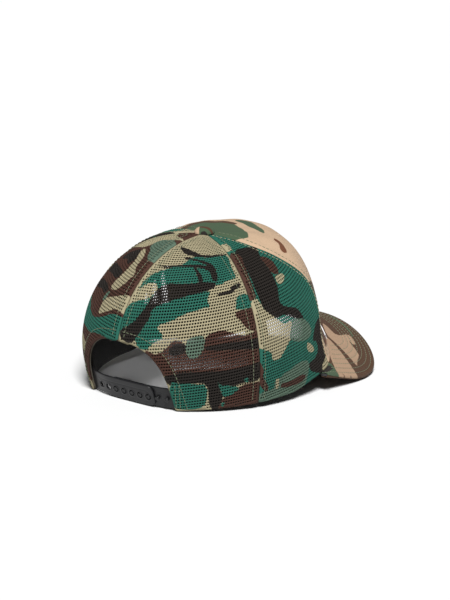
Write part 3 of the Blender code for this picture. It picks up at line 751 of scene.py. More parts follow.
def knit_to_flat(points):
    """The knit's own rows and columns lie turned on the panel and lean over a little."""
    turn = math.radians(KNIT_TURN)
    along = points[..., 0] + KNIT_LEAN * points[..., 1]
    across = points[..., 1]
    u = along * math.cos(turn) + across * math.sin(turn)
    return np.stack([u, across * math.cos(turn) - along * math.sin(turn)], axis=-1)


def flat_to_knit(points):
    turn = math.radians(KNIT_TURN)
    across = points[..., 0] * math.sin(turn) + points[..., 1] * math.cos(turn)
    along = points[..., 0] * math.cos(turn) - points[..., 1] * math.sin(turn)
    return np.stack([along - KNIT_LEAN * across, across], axis=-1)


def holed_cells(outline):
    """Nodes of the staggered knit and the cells of it that lie clear of the outline."""
    half = HOLE_PITCH / 2
    own = flat_to_knit(outline)
    low = np.floor(own.min(axis=0) / (half, ROW_PITCH)).astype(int) - 1
    high = np.ceil(own.max(axis=0) / (half, ROW_PITCH)).astype(int) + 1
    columns = np.arange(low[0], high[0] + 1)
    rows = np.arange(low[1], high[1] + 1)
    nodes = np.stack(np.meshgrid(columns * half, rows * ROW_PITCH), axis=-1).reshape(-1, 2)
    nodes = knit_to_flat(nodes)
    clear = signed_distance(nodes, outline) < -EDGE_MARGIN
    width = len(columns)
    column, row = np.meshgrid(np.arange(1, width - 1), np.arange(len(rows) - 1))
    staggered = (columns[column] + rows[row]) % 2 == 0
    middle = (row * width + column)[staggered]
    corners = middle[:, None] + np.array([1, width + 1, width, width - 1, -1, 0])
    return nodes, corners[clear[corners].all(axis=1)]


def margin_triangles(outline, nodes, corners):
    """Triangles between the holed cells and the outline, as indices of nodes, then outline points."""
    starts = corners.ravel()
    ends = np.roll(corners, -1, axis=1).ravel()
    many = len(nodes)
    single = ~np.isin(starts * many + ends, ends * many + starts)
    border = np.stack([starts[single], ends[single]], axis=1)
    stairs = np.unique(border)
    at = {node: index for index, node in enumerate(stairs.tolist())}
    edges = [(at[a], at[b]) for a, b in border.tolist()]
    count = len(outline)
    edges += [(len(stairs) + i, len(stairs) + (i + 1) % count) for i in range(count)]
    points = np.concatenate([nodes[stairs], outline]) * 1000
    verts, _, faces, origins, _, _ = delaunay_2d_cdt(
        [Vector(point) for point in points], edges, [], 0, 1e-5
    )
    places = np.array([tuple(vert) for vert in verts]) / 1000
    source = np.array([origin[0] if origin else -1 for origin in origins])
    triangles = np.array([face for face in faces if len(face) == 3])
    centres = places[triangles].mean(axis=1)
    taken = set(coarse(cell_centres(nodes, corners)))
    keep = inside_polygon(centres, outline) & (source[triangles] >= 0).all(axis=1)
    keep &= np.array([cell not in taken for cell in coarse(own_cell(centres))])
    triangles = triangles[keep]
    a, b, c = (places[triangles[:, i]] for i in range(3))
    area = (b[:, 0] - a[:, 0]) * (c[:, 1] - a[:, 1]) - (b[:, 1] - a[:, 1]) * (c[:, 0] - a[:, 0])
    triangles[area < 0] = triangles[area < 0][:, ::-1]
    joined = np.concatenate([stairs, many + np.arange(count)])
    return joined[source[triangles]]


def cell_centres(nodes, corners):
    return nodes[corners].mean(axis=1)


def coarse(points):
    """Points as whole tenths of a millimetre, so that equal ones compare equal."""
    return [tuple(point) for point in np.round(points * 1e4).astype(int).tolist()]


def own_cell(points):
    """Centre of the knit cell that each flat point lies in."""
    half = HOLE_PITCH / 2
    own = flat_to_knit(points)
    row = np.floor(own[:, 1] / ROW_PITCH)
    column = 2 * np.round((own[:, 0] / half - row % 2) / 2) + row % 2
    return knit_to_flat(np.stack([column * half, (row + 0.5) * ROW_PITCH], axis=1))


def knit_sheet(outline):
    """Holed sheet cut to an outline: flat points, level (0 outer, 1 inner), faces and face sides."""
    nodes, corners = holed_cells(outline)
    margin = margin_triangles(outline, nodes, corners)
    centres = cell_centres(nodes, corners)
    turns = np.radians(np.arange(8) * 45 + 22.5)
    ring = np.stack([np.cos(turns), np.sin(turns)], axis=1)
    hole_rings = [(centres[:, None] + ring * size).reshape(-1, 2) for size in (HOLE_EDGE, HOLE, HOLE_EDGE)]
    flat = np.concatenate([nodes, outline, *hole_rings, nodes, outline])
    many, holes = len(nodes) + len(outline), len(hole_rings[0])
    # The level also sets the mesh's painted shade: past the ring just inside each hole's mouth (0.05) the
    # colour darkens to near black at the hole's middle (0.5) and stays so to the inner face (1).
    parts = ((many, 0.0), (holes, 0.05), (holes, 0.5), (holes, 0.95), (many, 1.0))
    level = np.concatenate([np.full(count, value) for count, value in parts])
    first_ring = many + np.arange(holes).reshape(-1, 8)
    edge_ring, last_ring = first_ring + holes, first_ring + 2 * holes
    under = many + 3 * holes
    corner_turns = np.degrees(np.arctan2(ROW_PITCH / 2, HOLE_PITCH / 2))
    outer = np.array([-corner_turns, corner_turns, 90, 180 - corner_turns, 180 + corner_turns, 270])
    pattern = zipper(outer, np.degrees(turns) - 45)
    pattern = np.where(pattern >= 6, 6 + (pattern - 6 + 7) % 8, pattern)

    def joined(first, second):
        after_first, after_second = np.roll(first, -1, axis=1), np.roll(second, -1, axis=1)
        return np.stack([first, after_first, after_second, second], axis=-1).reshape(-1, 4)

    top = np.concatenate([corners, first_ring], axis=1)[:, pattern].reshape(-1, 3)
    bottom = np.concatenate([corners + under, last_ring], axis=1)[:, pattern].reshape(-1, 3)
    line = len(nodes) + np.arange(len(outline))
    after = np.roll(line, -1)
    walls = np.stack([line, after, after + under, line + under], axis=1)
    triangles = [top[:, ::-1], margin[:, ::-1], bottom, margin + under]
    quads = [joined(first_ring, edge_ring)[:, ::-1], joined(last_ring, edge_ring), walls]
    sides = np.repeat([0, 0, 1, 1, 0, 1, 0], [len(part) for part in triangles + quads])
    return compact(flat, level, triangles + quads, sides)


def compact(flat, level, faces, sides):
    """The same sheet without the points that no face uses."""
    used = np.unique(np.concatenate([part.ravel() for part in faces]))
    place = np.zeros(len(flat), int)
    place[used] = np.arange(len(used))
    return flat[used], level[used], [place[part] for part in faces], sides


def panel_line(panel, seam, low=0.0, high=1.0, count=160):
    """A seam as a flat line up one of its panels, between two shares of its length."""
    share = np.linspace(low, high, count)
    phi = seam(share)
    return panel.flat(phi, seam_climb(phi, share))


def rim_line(panel, start, end, count=120):
    phi = np.linspace(start, end, count)
    return panel.flat(phi, seam_climb(phi, np.zeros(count)))


def top_line(panel, start, end, count=12):
    phi = np.linspace(start, end, count)
    return panel.flat(phi, climb_at_radius(phi, EYELET_RADIUS))


def arch_line(panel, grow=0.0, high=math.pi / 2, count=90):
    """The wearer's right half of the arch as a flat line, from its foot to the middle."""
    x, z = arch_outline(np.linspace(0.004, high, count), grow)
    phi = angle_at_x(x, z, 0.0)
    return panel.flat(phi, climb_at_height(phi, z))


def closed_outline(lines, inset):
    """One outline from lines that follow each other, resampled and pulled in by half the seam gap."""
    line = resampled(np.concatenate(lines + [lines[0][:1]]), OUTLINE_STEP)[:-1]
    here, there = np.roll(line, 1, axis=0), np.roll(line, -1, axis=0)
    along = there - here
    along /= np.maximum(np.linalg.norm(along, axis=1, keepdims=True), 1e-9)
    return line + np.stack([-along[:, 1], along[:, 0]], axis=1) * inset


def segments(lines):
    """Starts and ends of the edges of several open lines."""
    return np.concatenate([line[:-1] for line in lines]), np.concatenate([line[1:] for line in lines])


def mesh_depth(flat, level, seams):
    """Depth under the crown's face: its edge rolled in at the seams, its hem folded double beside them."""
    away = distance_to_edges(flat, *segments(seams))
    roll = SEAM_ROLL * (1 - smooth(away / SEAM_ROLL_WIDTH)) * (1 - level)
    raised = FOLD_RISE * smooth((FOLD_WIDTH - away) / FOLD_EASE)
    return level * KNIT + roll - raised


# ---------------------------------------------------------------- materials


class Look:
    """A node material, built a socket at a time."""

    def __init__(self, name, roughness, specular=0.35, sheen=0.0):
        self.material = bpy.data.materials.new(name)
        self.material.use_nodes = True
        self.tree = self.material.node_tree
        self.shader = self.tree.nodes["Principled BSDF"]
        self.shader.inputs["Roughness"].default_value = roughness
        self.shader.inputs["Specular IOR Level"].default_value = specular
        self.shader.inputs["Sheen Weight"].default_value = sheen
        self.shader.inputs["Sheen Roughness"].default_value = 0.6

    def put(self, value, socket):
        if isinstance(value, bpy.types.NodeSocket):
            self.tree.links.new(value, socket)
        else:
            socket.default_value = value

    def node(self, kind, inputs, output=0, **settings):
        made = self.tree.nodes.new(kind)
        for key, value in settings.items():
            setattr(made, key, value)
        for key, value in inputs.items():
            self.put(value, made.inputs[key])
        return made.outputs[output]

    def math(self, operation, first, second=0.0):
        return self.node("ShaderNodeMath", {0: first, 1: second}, operation=operation)

    def line(self, value, factor, plus, clamp=False):
        """value x factor + plus."""
        inputs = {0: value, 1: factor, 2: plus}
        return self.node("ShaderNodeMath", inputs, operation="MULTIPLY_ADD", use_clamp=clamp)

    def mix(self, factor, first, second):
        first, second = (color if isinstance(color, bpy.types.NodeSocket) else (*color, 1.0)
                         for color in (first, second))
        return self.node("ShaderNodeMix", {0: factor, 6: first, 7: second}, 2, data_type="RGBA")

    def attribute(self, name, output="Fac"):
        return self.node("ShaderNodeAttribute", {}, output, attribute_name=name)

    def noise(self, vector, scale, detail=2.0):
        inputs = {"Vector": vector, "Scale": scale, "Detail": detail}
        return self.node("ShaderNodeTexNoise", inputs, "Fac")

    def wave(self, vector, direction, period):
        """Sine of the place along a direction, from 0 to 1."""
        inputs = {0: vector, 1: direction}
        along = self.node("ShaderNodeVectorMath", inputs, "Value", operation="DOT_PRODUCT")
        return self.line(self.math("SINE", self.math("MULTIPLY", along, 2 * math.pi / period)), 0.5, 0.5)

    def plain(self, color):
        """One colour as a socket."""
        return self.mix(0.0, color, color)

    def scaled(self, color, amount):
        """A colour times a number near 1."""
        return self.node("ShaderNodeVectorMath", {0: color, "Scale": amount}, "Vector", operation="SCALE")

    def around_one(self, value, spread):
        """A 0 to 1 value as a factor from 1 - spread to 1 + spread."""
        return self.line(value, 2 * spread, 1 - spread)

    def bump(self, height, distance, strength=1.0):
        inputs = {"Height": height, "Distance": distance, "Strength": strength}
        self.put(self.node("ShaderNodeBump", inputs, "Normal"), self.shader.inputs["Normal"])

    def color(self, value):
        self.put(value if isinstance(value, bpy.types.NodeSocket) else (*value, 1.0),
                 self.shader.inputs["Base Color"])


def printed(look, ground, inks, wobble):
    """The print: flat inks with slightly uneven edges over a ground colour."""
    cloth = look.attribute("cloth", "Vector")
    uneven = look.line(look.noise(cloth, 420.0, 3.0), wobble, -wobble / 2)
    result = look.plain(COLORS[ground])
    for ink in inks:
        away = look.math("ADD", look.attribute("ink_" + ink), uneven)
        result = look.mix(look.line(away, -2200.0, 0.5, True), result, COLORS[ink])
    return result, cloth


def mesh_look(name, ground, inks):
    """Printed polyester mesh: dull threads outside, and painted shade inside, where little light comes: near
    black on its inner face and the walls of its holes.
    """
    look = Look(name, 0.75, 0.12, 0.0)
    color, cloth = printed(look, ground, inks, 0.0016)
    threads = look.noise(cloth, 2600.0, 2.0)
    faded = look.noise(cloth, 55.0, 2.0)
    color = look.scaled(color, look.around_one(threads, 0.30))
    color = look.scaled(color, look.around_one(faded, 0.16))
    # Painted shade: by its level in the knit the colour is mixed to near black, fully on the inner face and
    # the holes' walls, a little under half on the folded hems.
    inner = look.line(look.attribute("level"), 3.3, -0.70, True)
    look.color(look.mix(inner, color, (0.010, 0.009, 0.007)))
    yarn = look.math(
        "MULTIPLY", look.wave(cloth, (1, 0.35, 0), 0.00042), look.wave(cloth, (0.35, 1, 0), 0.00047)
    )
    look.bump(look.math("ADD", yarn, look.math("MULTIPLY", threads, 0.8)), 0.00012, 0.8)
    return look.material


def twill_look(name, ground, inks, wobble=0.0010):
    """Printed cotton twill with its fine diagonal ribs."""
    look = Look(name, 0.85, 0.12, 0.04)
    color, cloth = printed(look, ground, inks, wobble)
    ribs = look.wave(cloth, (1, 1, 0), 0.00062)
    yarns = look.noise(cloth, 1900.0, 3.0)
    color = look.scaled(color, look.around_one(ribs, 0.055))
    color = look.scaled(color, look.around_one(yarns, 0.10))
    color = look.scaled(color, look.around_one(look.noise(cloth, 42.0, 2.0), 0.07))
    look.color(color)
    look.bump(look.math("ADD", ribs, look.math("MULTIPLY", yarns, 0.7)), 0.00010, 0.7)
    return look.material


def woven_look(name, color, period, spread=0.12, roughness=0.85):
    """Plain dyed cloth or tape: crossing yarns at a period, with slight unevenness."""
    look = Look(name, roughness, 0.20, 0.15)
    cloth = look.attribute("cloth", "Vector")
    yarn = look.math("MULTIPLY", look.wave(cloth, (1, 0, 0), period), look.wave(cloth, (0, 1, 0), period))
    uneven = look.noise(cloth, 700.0, 3.0)
    shade = look.scaled(look.plain(color), look.around_one(yarn, spread))
    look.color(look.scaled(shade, look.around_one(uneven, spread)))
    look.bump(look.math("ADD", yarn, uneven), 0.00015, 0.8)
    return look.material


def thread_look(name, color):
    """Two-ply sewing thread: a twist that runs round the stitch."""
    look = Look(name, 0.6, 0.4, 0.1)
    cloth = look.attribute("cloth", "Vector")
    twist = look.wave(cloth, (1, 1, 0), 0.00050)
    look.color(look.scaled(look.plain(color), look.around_one(twist, 0.25)))
    look.bump(twist, 0.00008, 0.8)
    return look.material


def solid_look(name, color, roughness, scale, spread, bump, metallic=0.0, specular=0.5):
    """Moulded or stamped material: a fine grain in colour, roughness and surface."""
    look = Look(name, roughness, specular)
    look.shader.inputs["Metallic"].default_value = metallic
    place = look.node("ShaderNodeTexCoord", {}, "Object")
    grain = look.noise(place, scale, 4.0)
    look.color(look.scaled(look.plain(color), look.around_one(grain, spread)))
    rough = look.line(look.noise(place, scale * 0.2, 2.0), 0.14, roughness - 0.06)
    look.put(rough, look.shader.inputs["Roughness"])
    look.bump(grain, bump, 0.6)
    return look.material


# ---------------------------------------------------------------- crown


def arch_top_share():
    """Share of the back seam's length at which the arch meets it."""
    start, end = seam_climb(np.full(2, np.pi), np.array([0.0, 1.0]))
    return float((climb_at_height(np.pi, ARCH_HEIGHT) - start) / (end - start))


def ink_fields(shapes, flat, ground):
    return {"ink_" + ink: away for ink, away in paint(shapes, flat, ground).items()}


def mesh_panel(name, panel, outline_lines, seams, shapes, ground, flip):
    """One panel of holed cloth. flip makes it the left one, from the right one's outline."""
    outline = closed_outline(outline_lines, SEAM_GAP / 2)
    flat, level, faces, sides = knit_sheet(outline)
    phi, climb = panel.place(flat)
    points = skin(phi, climb, mesh_depth(flat, level, seams))
    for slot, seam in enumerate(seams, 2):
        grid = hem_grid(seam, inward=1.0 if slot == 2 else -1.0)
        phi, climb = panel.place(grid)
        hem, hem_faces, _ = slab(skin(phi, climb, HEM_DEPTH), skin(phi, climb, HEM_DEPTH + HEM))
        faces += [hem_faces[0] + len(points)]
        points = np.concatenate([points, hem])
        flat = np.concatenate([flat] + [grid.reshape(-1, 2)] * 2)
        level = np.concatenate([level, np.full(len(hem), HEM_LEVEL)])
        sides = np.concatenate([sides, np.full(len(hem_faces[0]), slot)])
    if flip:
        points, faces = mirrored(points, faces)
        flat = flat * (-1.0, 1.0)
    fields = ink_fields(shapes, flat, ground)
    fields["level"] = level
    look = mesh_look(name + "_cloth", ground, inks_of(shapes, ground))
    made = new_object(name + "_cloth", points, faces, look, flat=flat, sides=sides, fields=fields)
    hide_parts(name)


def hem_grid(seam, inward):
    """Flat points of the cloth folded back beside a seam, to one side of it."""
    line = resampled(seam, 0.002)
    return np.stack([beside(line, -inward * step) for step in HEM_STEPS], axis=1)


def mesh_panels():
    side, back = Panel(86), Panel(147.75)
    side_seams = [panel_line(side, front_seam), panel_line(side, side_seam)]
    top = front_seam(np.ones(1))[0]
    side_outline = [
        rim_line(side, math.radians(FRONT_SEAM_LOW), math.radians(SIDE_SEAM)),
        side_seams[1],
        top_line(side, math.radians(SIDE_SEAM), top),
        side_seams[0][::-1],
    ]
    arch = arch_line(back)
    low = arch_top_share()
    back_seams = [panel_line(back, side_seam), panel_line(back, back_seam, low)]
    foot = float(angle_at_x(-ARCH_HALF_WIDTH, 0.0002, 0.0))
    back_outline = [
        rim_line(back, math.radians(SIDE_SEAM), foot),
        arch,
        back_seams[1],
        top_line(back, math.pi, math.radians(SIDE_SEAM)),
        back_seams[0][::-1],
    ]
    turned_print = [(color, [(u, 150 - v) for u, v in shape]) for color, shape in BACK_RIGHT_PRINT]
    mesh_panel("side_mesh_right", side, side_outline, side_seams, SIDE_RIGHT_PRINT, "green", False)
    mesh_panel("side_mesh_left", side, side_outline, side_seams, turned_print, "khaki", True)
    back_edges = back_seams + [arch]
    mesh_panel("back_mesh_right", back, back_outline, back_edges, BACK_RIGHT_PRINT, "khaki", False)
    mesh_panel("back_mesh_left", back, back_outline, back_edges, BACK_LEFT_PRINT, "brown", True)


def eased(count, power=1.35):
    """Shares from 0 to 1 that lie closer together near both ends."""
    spread = np.linspace(-1, 1, count)
    return 0.5 + 0.5 * np.sign(spread) * (1 - (1 - np.abs(spread)) ** power)


def front_panel():
    panel = Panel(0)
    share = eased(150)[:, None]
    across = eased(190) * 2 - 1
    phi = front_seam(share) * across[None, :]
    climb = seam_climb(phi, np.broadcast_to(share, phi.shape))
    flat = panel.flat(phi, climb)
    side = panel_line(panel, front_seam)
    away = distance_to_edges(np.abs(flat.reshape(-1, 2)), *segments([side])).reshape(phi.shape)
    roll = SEAM_ROLL * (1 - smooth(away / SEAM_ROLL_WIDTH))
    beside_seam = np.exp(-((away - PUCKER_WIDTH) / PUCKER_WIDTH) ** 2)
    pucker = PUCKER * np.sin(flat[..., 1] / PUCKER_STEP) * beside_seam
    face = skin(phi, climb, roll + pucker)
    points, faces, sides = slab(face, skin(phi, climb, CLOTH))
    both = np.concatenate([flat.reshape(-1, 2)] * 2)
    fields = ink_fields(FRONT_PRINT, both, "tan")
    look = twill_look("front_panel_cloth", "tan", inks_of(FRONT_PRINT, "tan"))
    made = new_object("front_panel_cloth", points, faces, look, flat=both, sides=sides, fields=fields)
    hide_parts("front_panel")
    outline = np.concatenate([side, panel_line(panel, minus_front_seam)[::-1]])


# ---------------------------------------------------------------- visor


def visor_surface(columns, shares):
    """Smooth top of the visor as ribs, from its root under the crown's rim to its edge."""
    phi = np.radians(np.linspace(-ROOT_END, ROOT_END, columns))
    root = skin(phi, climb_at_height(phi, rim_height(phi)), VISOR_TUCK, 0.0)
    turn = np.radians(np.linspace(177.0, 3.0, columns))
    power = (np.abs(np.cos(turn)) ** VISOR_POWER + np.sin(turn) ** VISOR_POWER) ** (-1 / VISOR_POWER)
    x = -VISOR_HALF_WIDTH * np.cos(turn) * power
    y = -(VISOR_SIDE_START + (VISOR_FRONT - VISOR_SIDE_START) * np.sin(turn) * power)
    drop = VISOR_DROP * np.abs(x / 0.08) ** VISOR_DROP_POWER
    z = VISOR_HIGH - drop - VISOR_TILT * (-y - VISOR_ROOT_Y)
    edge = np.stack([x, y, z], axis=-1)
    shares = np.asarray(shares, float)[:, None, None]
    return root[None] * (1 - shares) + edge[None] * shares


def unit(vectors):
    return vectors / np.maximum(np.linalg.norm(vectors, axis=-1, keepdims=True), 1e-12)


def upward_normals(grid):
    normal = unit(np.cross(np.gradient(grid, axis=0), np.gradient(grid, axis=1)))
    return normal * np.sign(normal[..., 2:3])


def distance_to_line(points, line):
    """Distance of points in space to a line of points."""
    nearest = np.full(points.shape[:-1], FAR)
    for start, end in zip(line[:-1], line[1:]):
        along = end - start
        share = np.clip((points - start) @ along / (along @ along), 0, 1)[..., None]
        nearest = np.minimum(nearest, np.linalg.norm(points - start - share * along, axis=-1))
    return nearest


def visor_face(columns, rows, under):
    """Outer face of the top or under cover, with its stitched rows and its rolled edge, and its normals."""
    half = VISOR_THICKNESS / 2
    root, edge = visor_surface(columns, [0.0, 1.0])
    rib = edge - root
    length = np.linalg.norm(rib, axis=-1)
    along = unit(np.gradient(edge, axis=0))
    normal_all = upward_normals(visor_surface(columns, np.linspace(0, 1, 24)))
    at_edge = normal_all[-1]
    out = unit(np.cross(at_edge, along))
    out *= np.sign((out * rib).sum(axis=-1, keepdims=True))
    margin = half / np.maximum((unit(rib) * out).sum(axis=-1), 0.35)
    last = 1 - margin / length
    share = eased(rows)[:, None] * last[None, :]
    flat_part = root[None] * (1 - share[..., None]) + edge[None] * share[..., None]
    normal = upward_normals(flat_part)
    away = distance_to_line(flat_part, edge)
    row = away / VISOR_ROW_STEP
    nearest = np.abs(row - np.clip(np.round(row), 1, VISOR_ROWS)) * VISOR_ROW_STEP
    sewn = smooth((VISOR_ROWS + 0.6 - row) * 3.0) * smooth((row - 0.3) * 4.0)
    pressed = VISOR_GROOVE * np.exp(-(nearest / VISOR_GROOVE_WIDTH) ** 2)
    groove = sewn * (pressed - VISOR_PUFF * smooth(nearest / VISOR_PUFF_WIDTH))
    turn = np.radians(np.linspace(0, 86, 9))[1:, None, None]
    depth = VISOR_THICKNESS if under else 0.0
    sign = -1.0 if under else 1.0
    body = flat_part - normal * (depth + sign * groove[..., None])
    base = flat_part[-1] - normal[-1] * half
    arc = base[None] + out[None] * half * np.sin(turn) + sign * at_edge[None] * half * np.cos(turn)
    arc_normal = out[None] * np.sin(turn) + sign * at_edge[None] * np.cos(turn)
    face = np.concatenate([body, arc])
    return face, np.concatenate([sign * normal, arc_normal]), away


def row_lines(face, normal, away):
    """The visor's stitched rows as lines of points and normals, at equal steps from its edge."""
    lines = []
    for row in range(1, VISOR_ROWS + 1):
        target = row * VISOR_ROW_STEP
        points, normals = [], []
        for column in range(2, away.shape[1] - 2):
            distances = away[::-1, column]
            if not distances[0] < target < distances[-1] - 0.0015:
                continue
            rows = np.interp(target, distances, np.arange(len(distances))[::-1])
            low = int(rows)
            share = rows - low
            points.append(face[low, column] * (1 - share) + face[low + 1, column] * share)
            normals.append(normal[low, column])
        if len(points) > 4:
            lines.append((np.array(points), np.array(normals)))
    return lines


def visor_cover(name, under):
    face, normal, away = visor_face(241, 132, under)
    points, faces, sides = slab(face, face - normal * VISOR_SKIN)
    plan = points[:, :2]
    if under:
        plan = plan * (-1.0, 1.0) + UNDER_PRINT_SHIFT
    fields = ink_fields(VISOR_PRINT, plan, "cocoa")
    look = twill_look(name + "_cloth", "cocoa", inks_of(VISOR_PRINT, "cocoa"))
    across = np.linspace(-VISOR_HALF_WIDTH, VISOR_HALF_WIDTH, 400)
    drop = np.gradient(VISOR_DROP * np.abs(across / 0.08) ** VISOR_DROP_POWER, across)
    run = np.concatenate([[0.0], np.cumsum(np.hypot(1, drop)[1:] * np.diff(across))])
    u = np.interp(points[:, 0], across, run - run[200])
    flat = np.stack([u, -points[:, 1] * math.hypot(1, VISOR_TILT)], axis=1)
    made = new_object(name + "_cloth", points, faces, look, flat=flat, sides=sides, fields=fields)
    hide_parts(name)
    return row_lines(face, normal, away)


def visor_covers():
    """Both visor covers. Gives the stitched rows of each."""
    return visor_cover("visor_top_cover", False) + visor_cover("visor_under_cover", True)


# ---------------------------------------------------------------- button


def dome_grid(radius, height, base, gathers):
    """Dome over the crown's top, with shallow gathers round its lower edge."""
    turn = np.linspace(0.0, math.pi / 2 - 0.02, 26)[:, None]
    round_it = np.linspace(0, 2 * math.pi, 97)[None, :]
    fold = gathers * np.cos(turn) ** 3 * (np.sin(13 * round_it) + 0.5 * np.sin(21 * round_it + 1.0))
    reach = (radius - np.abs(fold)) * np.cos(turn) ** 0.86
    x = reach * np.cos(round_it)
    y = reach * np.sin(round_it) + TOP_SHIFT
    z = np.broadcast_to(CROWN_HEIGHT + base + height * np.sin(turn) ** 1.05, x.shape)
    return np.stack([x, y, z], axis=-1)


def ring_shell(outer, inner):
    """Closed shell between two grids that each go once round, open at the top and closed below."""
    outer, inner = outer[:, :-1], inner[:, :-1]
    rows, columns = outer.shape[:2]
    index = np.arange(rows * columns).reshape(rows, columns)
    after = np.roll(index, -1, axis=1)
    quads = np.stack([index[:-1], after[:-1], after[1:], index[1:]], axis=-1).reshape(-1, 4)
    behind = rows * columns
    lip = np.stack([after[0], index[0], index[0] + behind, after[0] + behind], axis=-1)
    tops = np.array([outer[-1].mean(axis=0), inner[-1].mean(axis=0)])
    points = np.concatenate([outer.reshape(-1, 3), inner.reshape(-1, 3), tops])
    cap = np.stack([index[-1], after[-1], np.full(columns, 2 * behind)], axis=-1)
    under_cap = np.stack([after[-1] + behind, index[-1] + behind, np.full(columns, 2 * behind + 1)], axis=-1)
    return points, [quads, quads[:, ::-1] + behind, lip, cap, under_cap]


def button():
    outer = dome_grid(BUTTON_RADIUS, BUTTON_HEIGHT, BUTTON_GAP, BUTTON_GATHERS)
    inner = dome_grid(BUTTON_RADIUS - BUTTON_CLOTH, BUTTON_HEIGHT - BUTTON_CLOTH, BUTTON_GAP, 0.0)
    points, faces = ring_shell(outer, inner)
    flat = points[:, :2] - (0.0, TOP_SHIFT)
    sides = np.repeat([0, 1, 1, 0, 1], [len(part) for part in faces])
    fields = ink_fields(BUTTON_PRINT, flat, "pine")
    look = twill_look("button_cloth", "pine", inks_of(BUTTON_PRINT, "pine"))
    made = new_object("button_cover_cloth", points, faces, look, flat=flat, sides=sides, fields=fields)
    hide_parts("button_cover")
    metal = solid_look("button_metal", (0.42, 0.42, 0.43), 0.36, 900.0, 0.08, 0.00004, metallic=1.0)
    for node in ("button_shell", "button_backing_disc", "button_rivet"):
        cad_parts[node].data.materials[0] = metal


# ---------------------------------------------------------------- linings, tapes and sweatband


def lining(name, phi, climb, depth, thick, look, edge_roll=0.0):
    """Slab of cloth or foam inside the crown, on a grid of angles and climbs."""
    panel = Panel(math.degrees(float(np.mean(phi))))
    flat = panel.flat(phi, climb).reshape(-1, 2)
    depth = np.broadcast_to(depth, phi.shape)
    thin = edge_roll * edge_share(phi.shape)
    points, faces, sides = slab(skin(phi, climb, depth + thin), skin(phi, climb, depth + thick - thin))
    both = np.concatenate([flat, flat])
    made = new_object(name + "_layer", points, faces, look, flat=both, sides=sides)
    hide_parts(name)
    return made


def edge_share(shape):
    """1 at the border of a grid and 0 inside it."""
    border = np.zeros(shape)
    border[0] = border[-1] = 1.0
    border[:, 0] = border[:, -1] = 1.0
    return border


def seam_tapes(look):
    for name, seam, low in (
        ("front_seam_tape", front_seam, SEAM_LAYER_LOW),
        ("side_seam_tape", side_seam, SEAM_LAYER_LOW),
        ("back_seam_tape", back_seam, ARCH_HEIGHT + FACING_WIDTH + SEAM_LAYER_LOW),
    ):
        share = np.linspace(0, 1, 120)[:, None]
        middle = seam(share * SEAM_LAYER_HIGH)
        climb = seam_climb(middle, share, low, TAPE_END_RADIUS)
        radius = np.linalg.norm(crown_point(middle, climb)[..., :2], axis=-1)
        phi = middle + np.linspace(-1, 1, 11)[None, :] * TAPE_HALF_WIDTH / radius
        climb = seam_climb(phi, np.broadcast_to(share, phi.shape), low, TAPE_END_RADIUS)
        sides = (("", 1.0),) if seam is back_seam else (("_right", 1.0), ("_left", -1.0))
        for side, turn in sides:
            lining(name + side, phi * turn, climb, TAPE_DEPTH, TAPE, look, 0.0002)


def foam_backing():
    share = np.linspace(0, 1, 90)[:, None]
    edge = front_seam(share * SEAM_LAYER_HIGH)
    climb = seam_climb(edge, share, SEAM_LAYER_LOW, FOAM_END_RADIUS)
    edge = edge - FOAM_SEAM_MARGIN / np.linalg.norm(crown_point(edge, climb)[..., :2], axis=-1)
    phi = edge * np.linspace(-1, 1, 130)[None, :]
    climb = seam_climb(phi, np.broadcast_to(share, phi.shape), SEAM_LAYER_LOW, FOAM_END_RADIUS)
    look = solid_look("foam", (0.035, 0.034, 0.032), 0.92, 1500.0, 0.35, 0.0003, specular=0.15)
    made = lining("front_foam_backing", phi, climb, FOAM_DEPTH, FOAM, look, 0.0006)


def arch_facing(look):
    angle = np.radians(np.linspace(0.6, 179.4, 150))[None, :]
    grow = np.linspace(SEAM_GAP, FACING_WIDTH, 12)[:, None]
    x, z = arch_outline(np.broadcast_to(angle, (12, 150)), grow)
    z = np.maximum(z, 0.0006)
    phi = angle_at_x(x, z, 0.0)
    lining("arch_facing", phi, climb_at_height(phi, z), TAPE_DEPTH, FACING, look, 0.0003)


def sweatband():
    """Band inside the rim. Over the front its lower edge hangs lower than the CAD solid's."""
    end = float(angle_at_x(-ARCH_HALF_WIDTH - BAND_END_GAP, 0.01, BAND_DEPTH))
    rows, columns = BAND_GRID
    phi = np.broadcast_to(np.linspace(-end, end, columns)[None, :], BAND_GRID)
    up = eased(rows)[:, None]
    angle = np.degrees(np.abs(phi))
    depth = BAND_SIDE_DEPTH + (BAND_DEPTH - BAND_SIDE_DEPTH) * np.maximum(
        smooth((BAND_DEEP_FRONT - angle) / BAND_DEEP_EASE), smooth((angle - BAND_DEEP_BACK) / BAND_DEEP_EASE)
    )
    under_visor = BAND_DROP * smooth((BAND_DROP_FROM - angle) / BAND_DROP_EASE)
    height = rim_height(phi) + BAND_LOW - under_visor + BAND_HEIGHT * up
    quilted = 0.00025 * np.sin(up * math.pi * 3) ** 2
    edge = BAND_EDGE * smooth(1 - np.minimum(up, 1 - up) / 0.05)
    climb = climb_at_height(phi, height)
    face = skin(phi, climb, depth + edge)
    back = skin(phi, climb, depth + BAND - edge + 0.3 * quilted)
    points, faces, sides = slab(face, back)
    length = np.linalg.norm(np.diff(face[rows // 2], axis=0), axis=1)
    run = np.concatenate([[0.0], np.cumsum(length)])
    flat = np.stack(np.broadcast_arrays(run[None, :], up * BAND_HEIGHT), axis=-1).reshape(-1, 2)
    look = woven_look("sweatband_cloth", (0.016, 0.015, 0.014), 0.0009, 0.30)
    both = np.concatenate([flat, flat])
    made = new_object("sweatband_cloth", points, faces, look, flat=both, sides=sides)
    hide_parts("sweatband")
    inner = unit(back - face)
    return [(back[row], inner[row]) for row in (4, 25)]


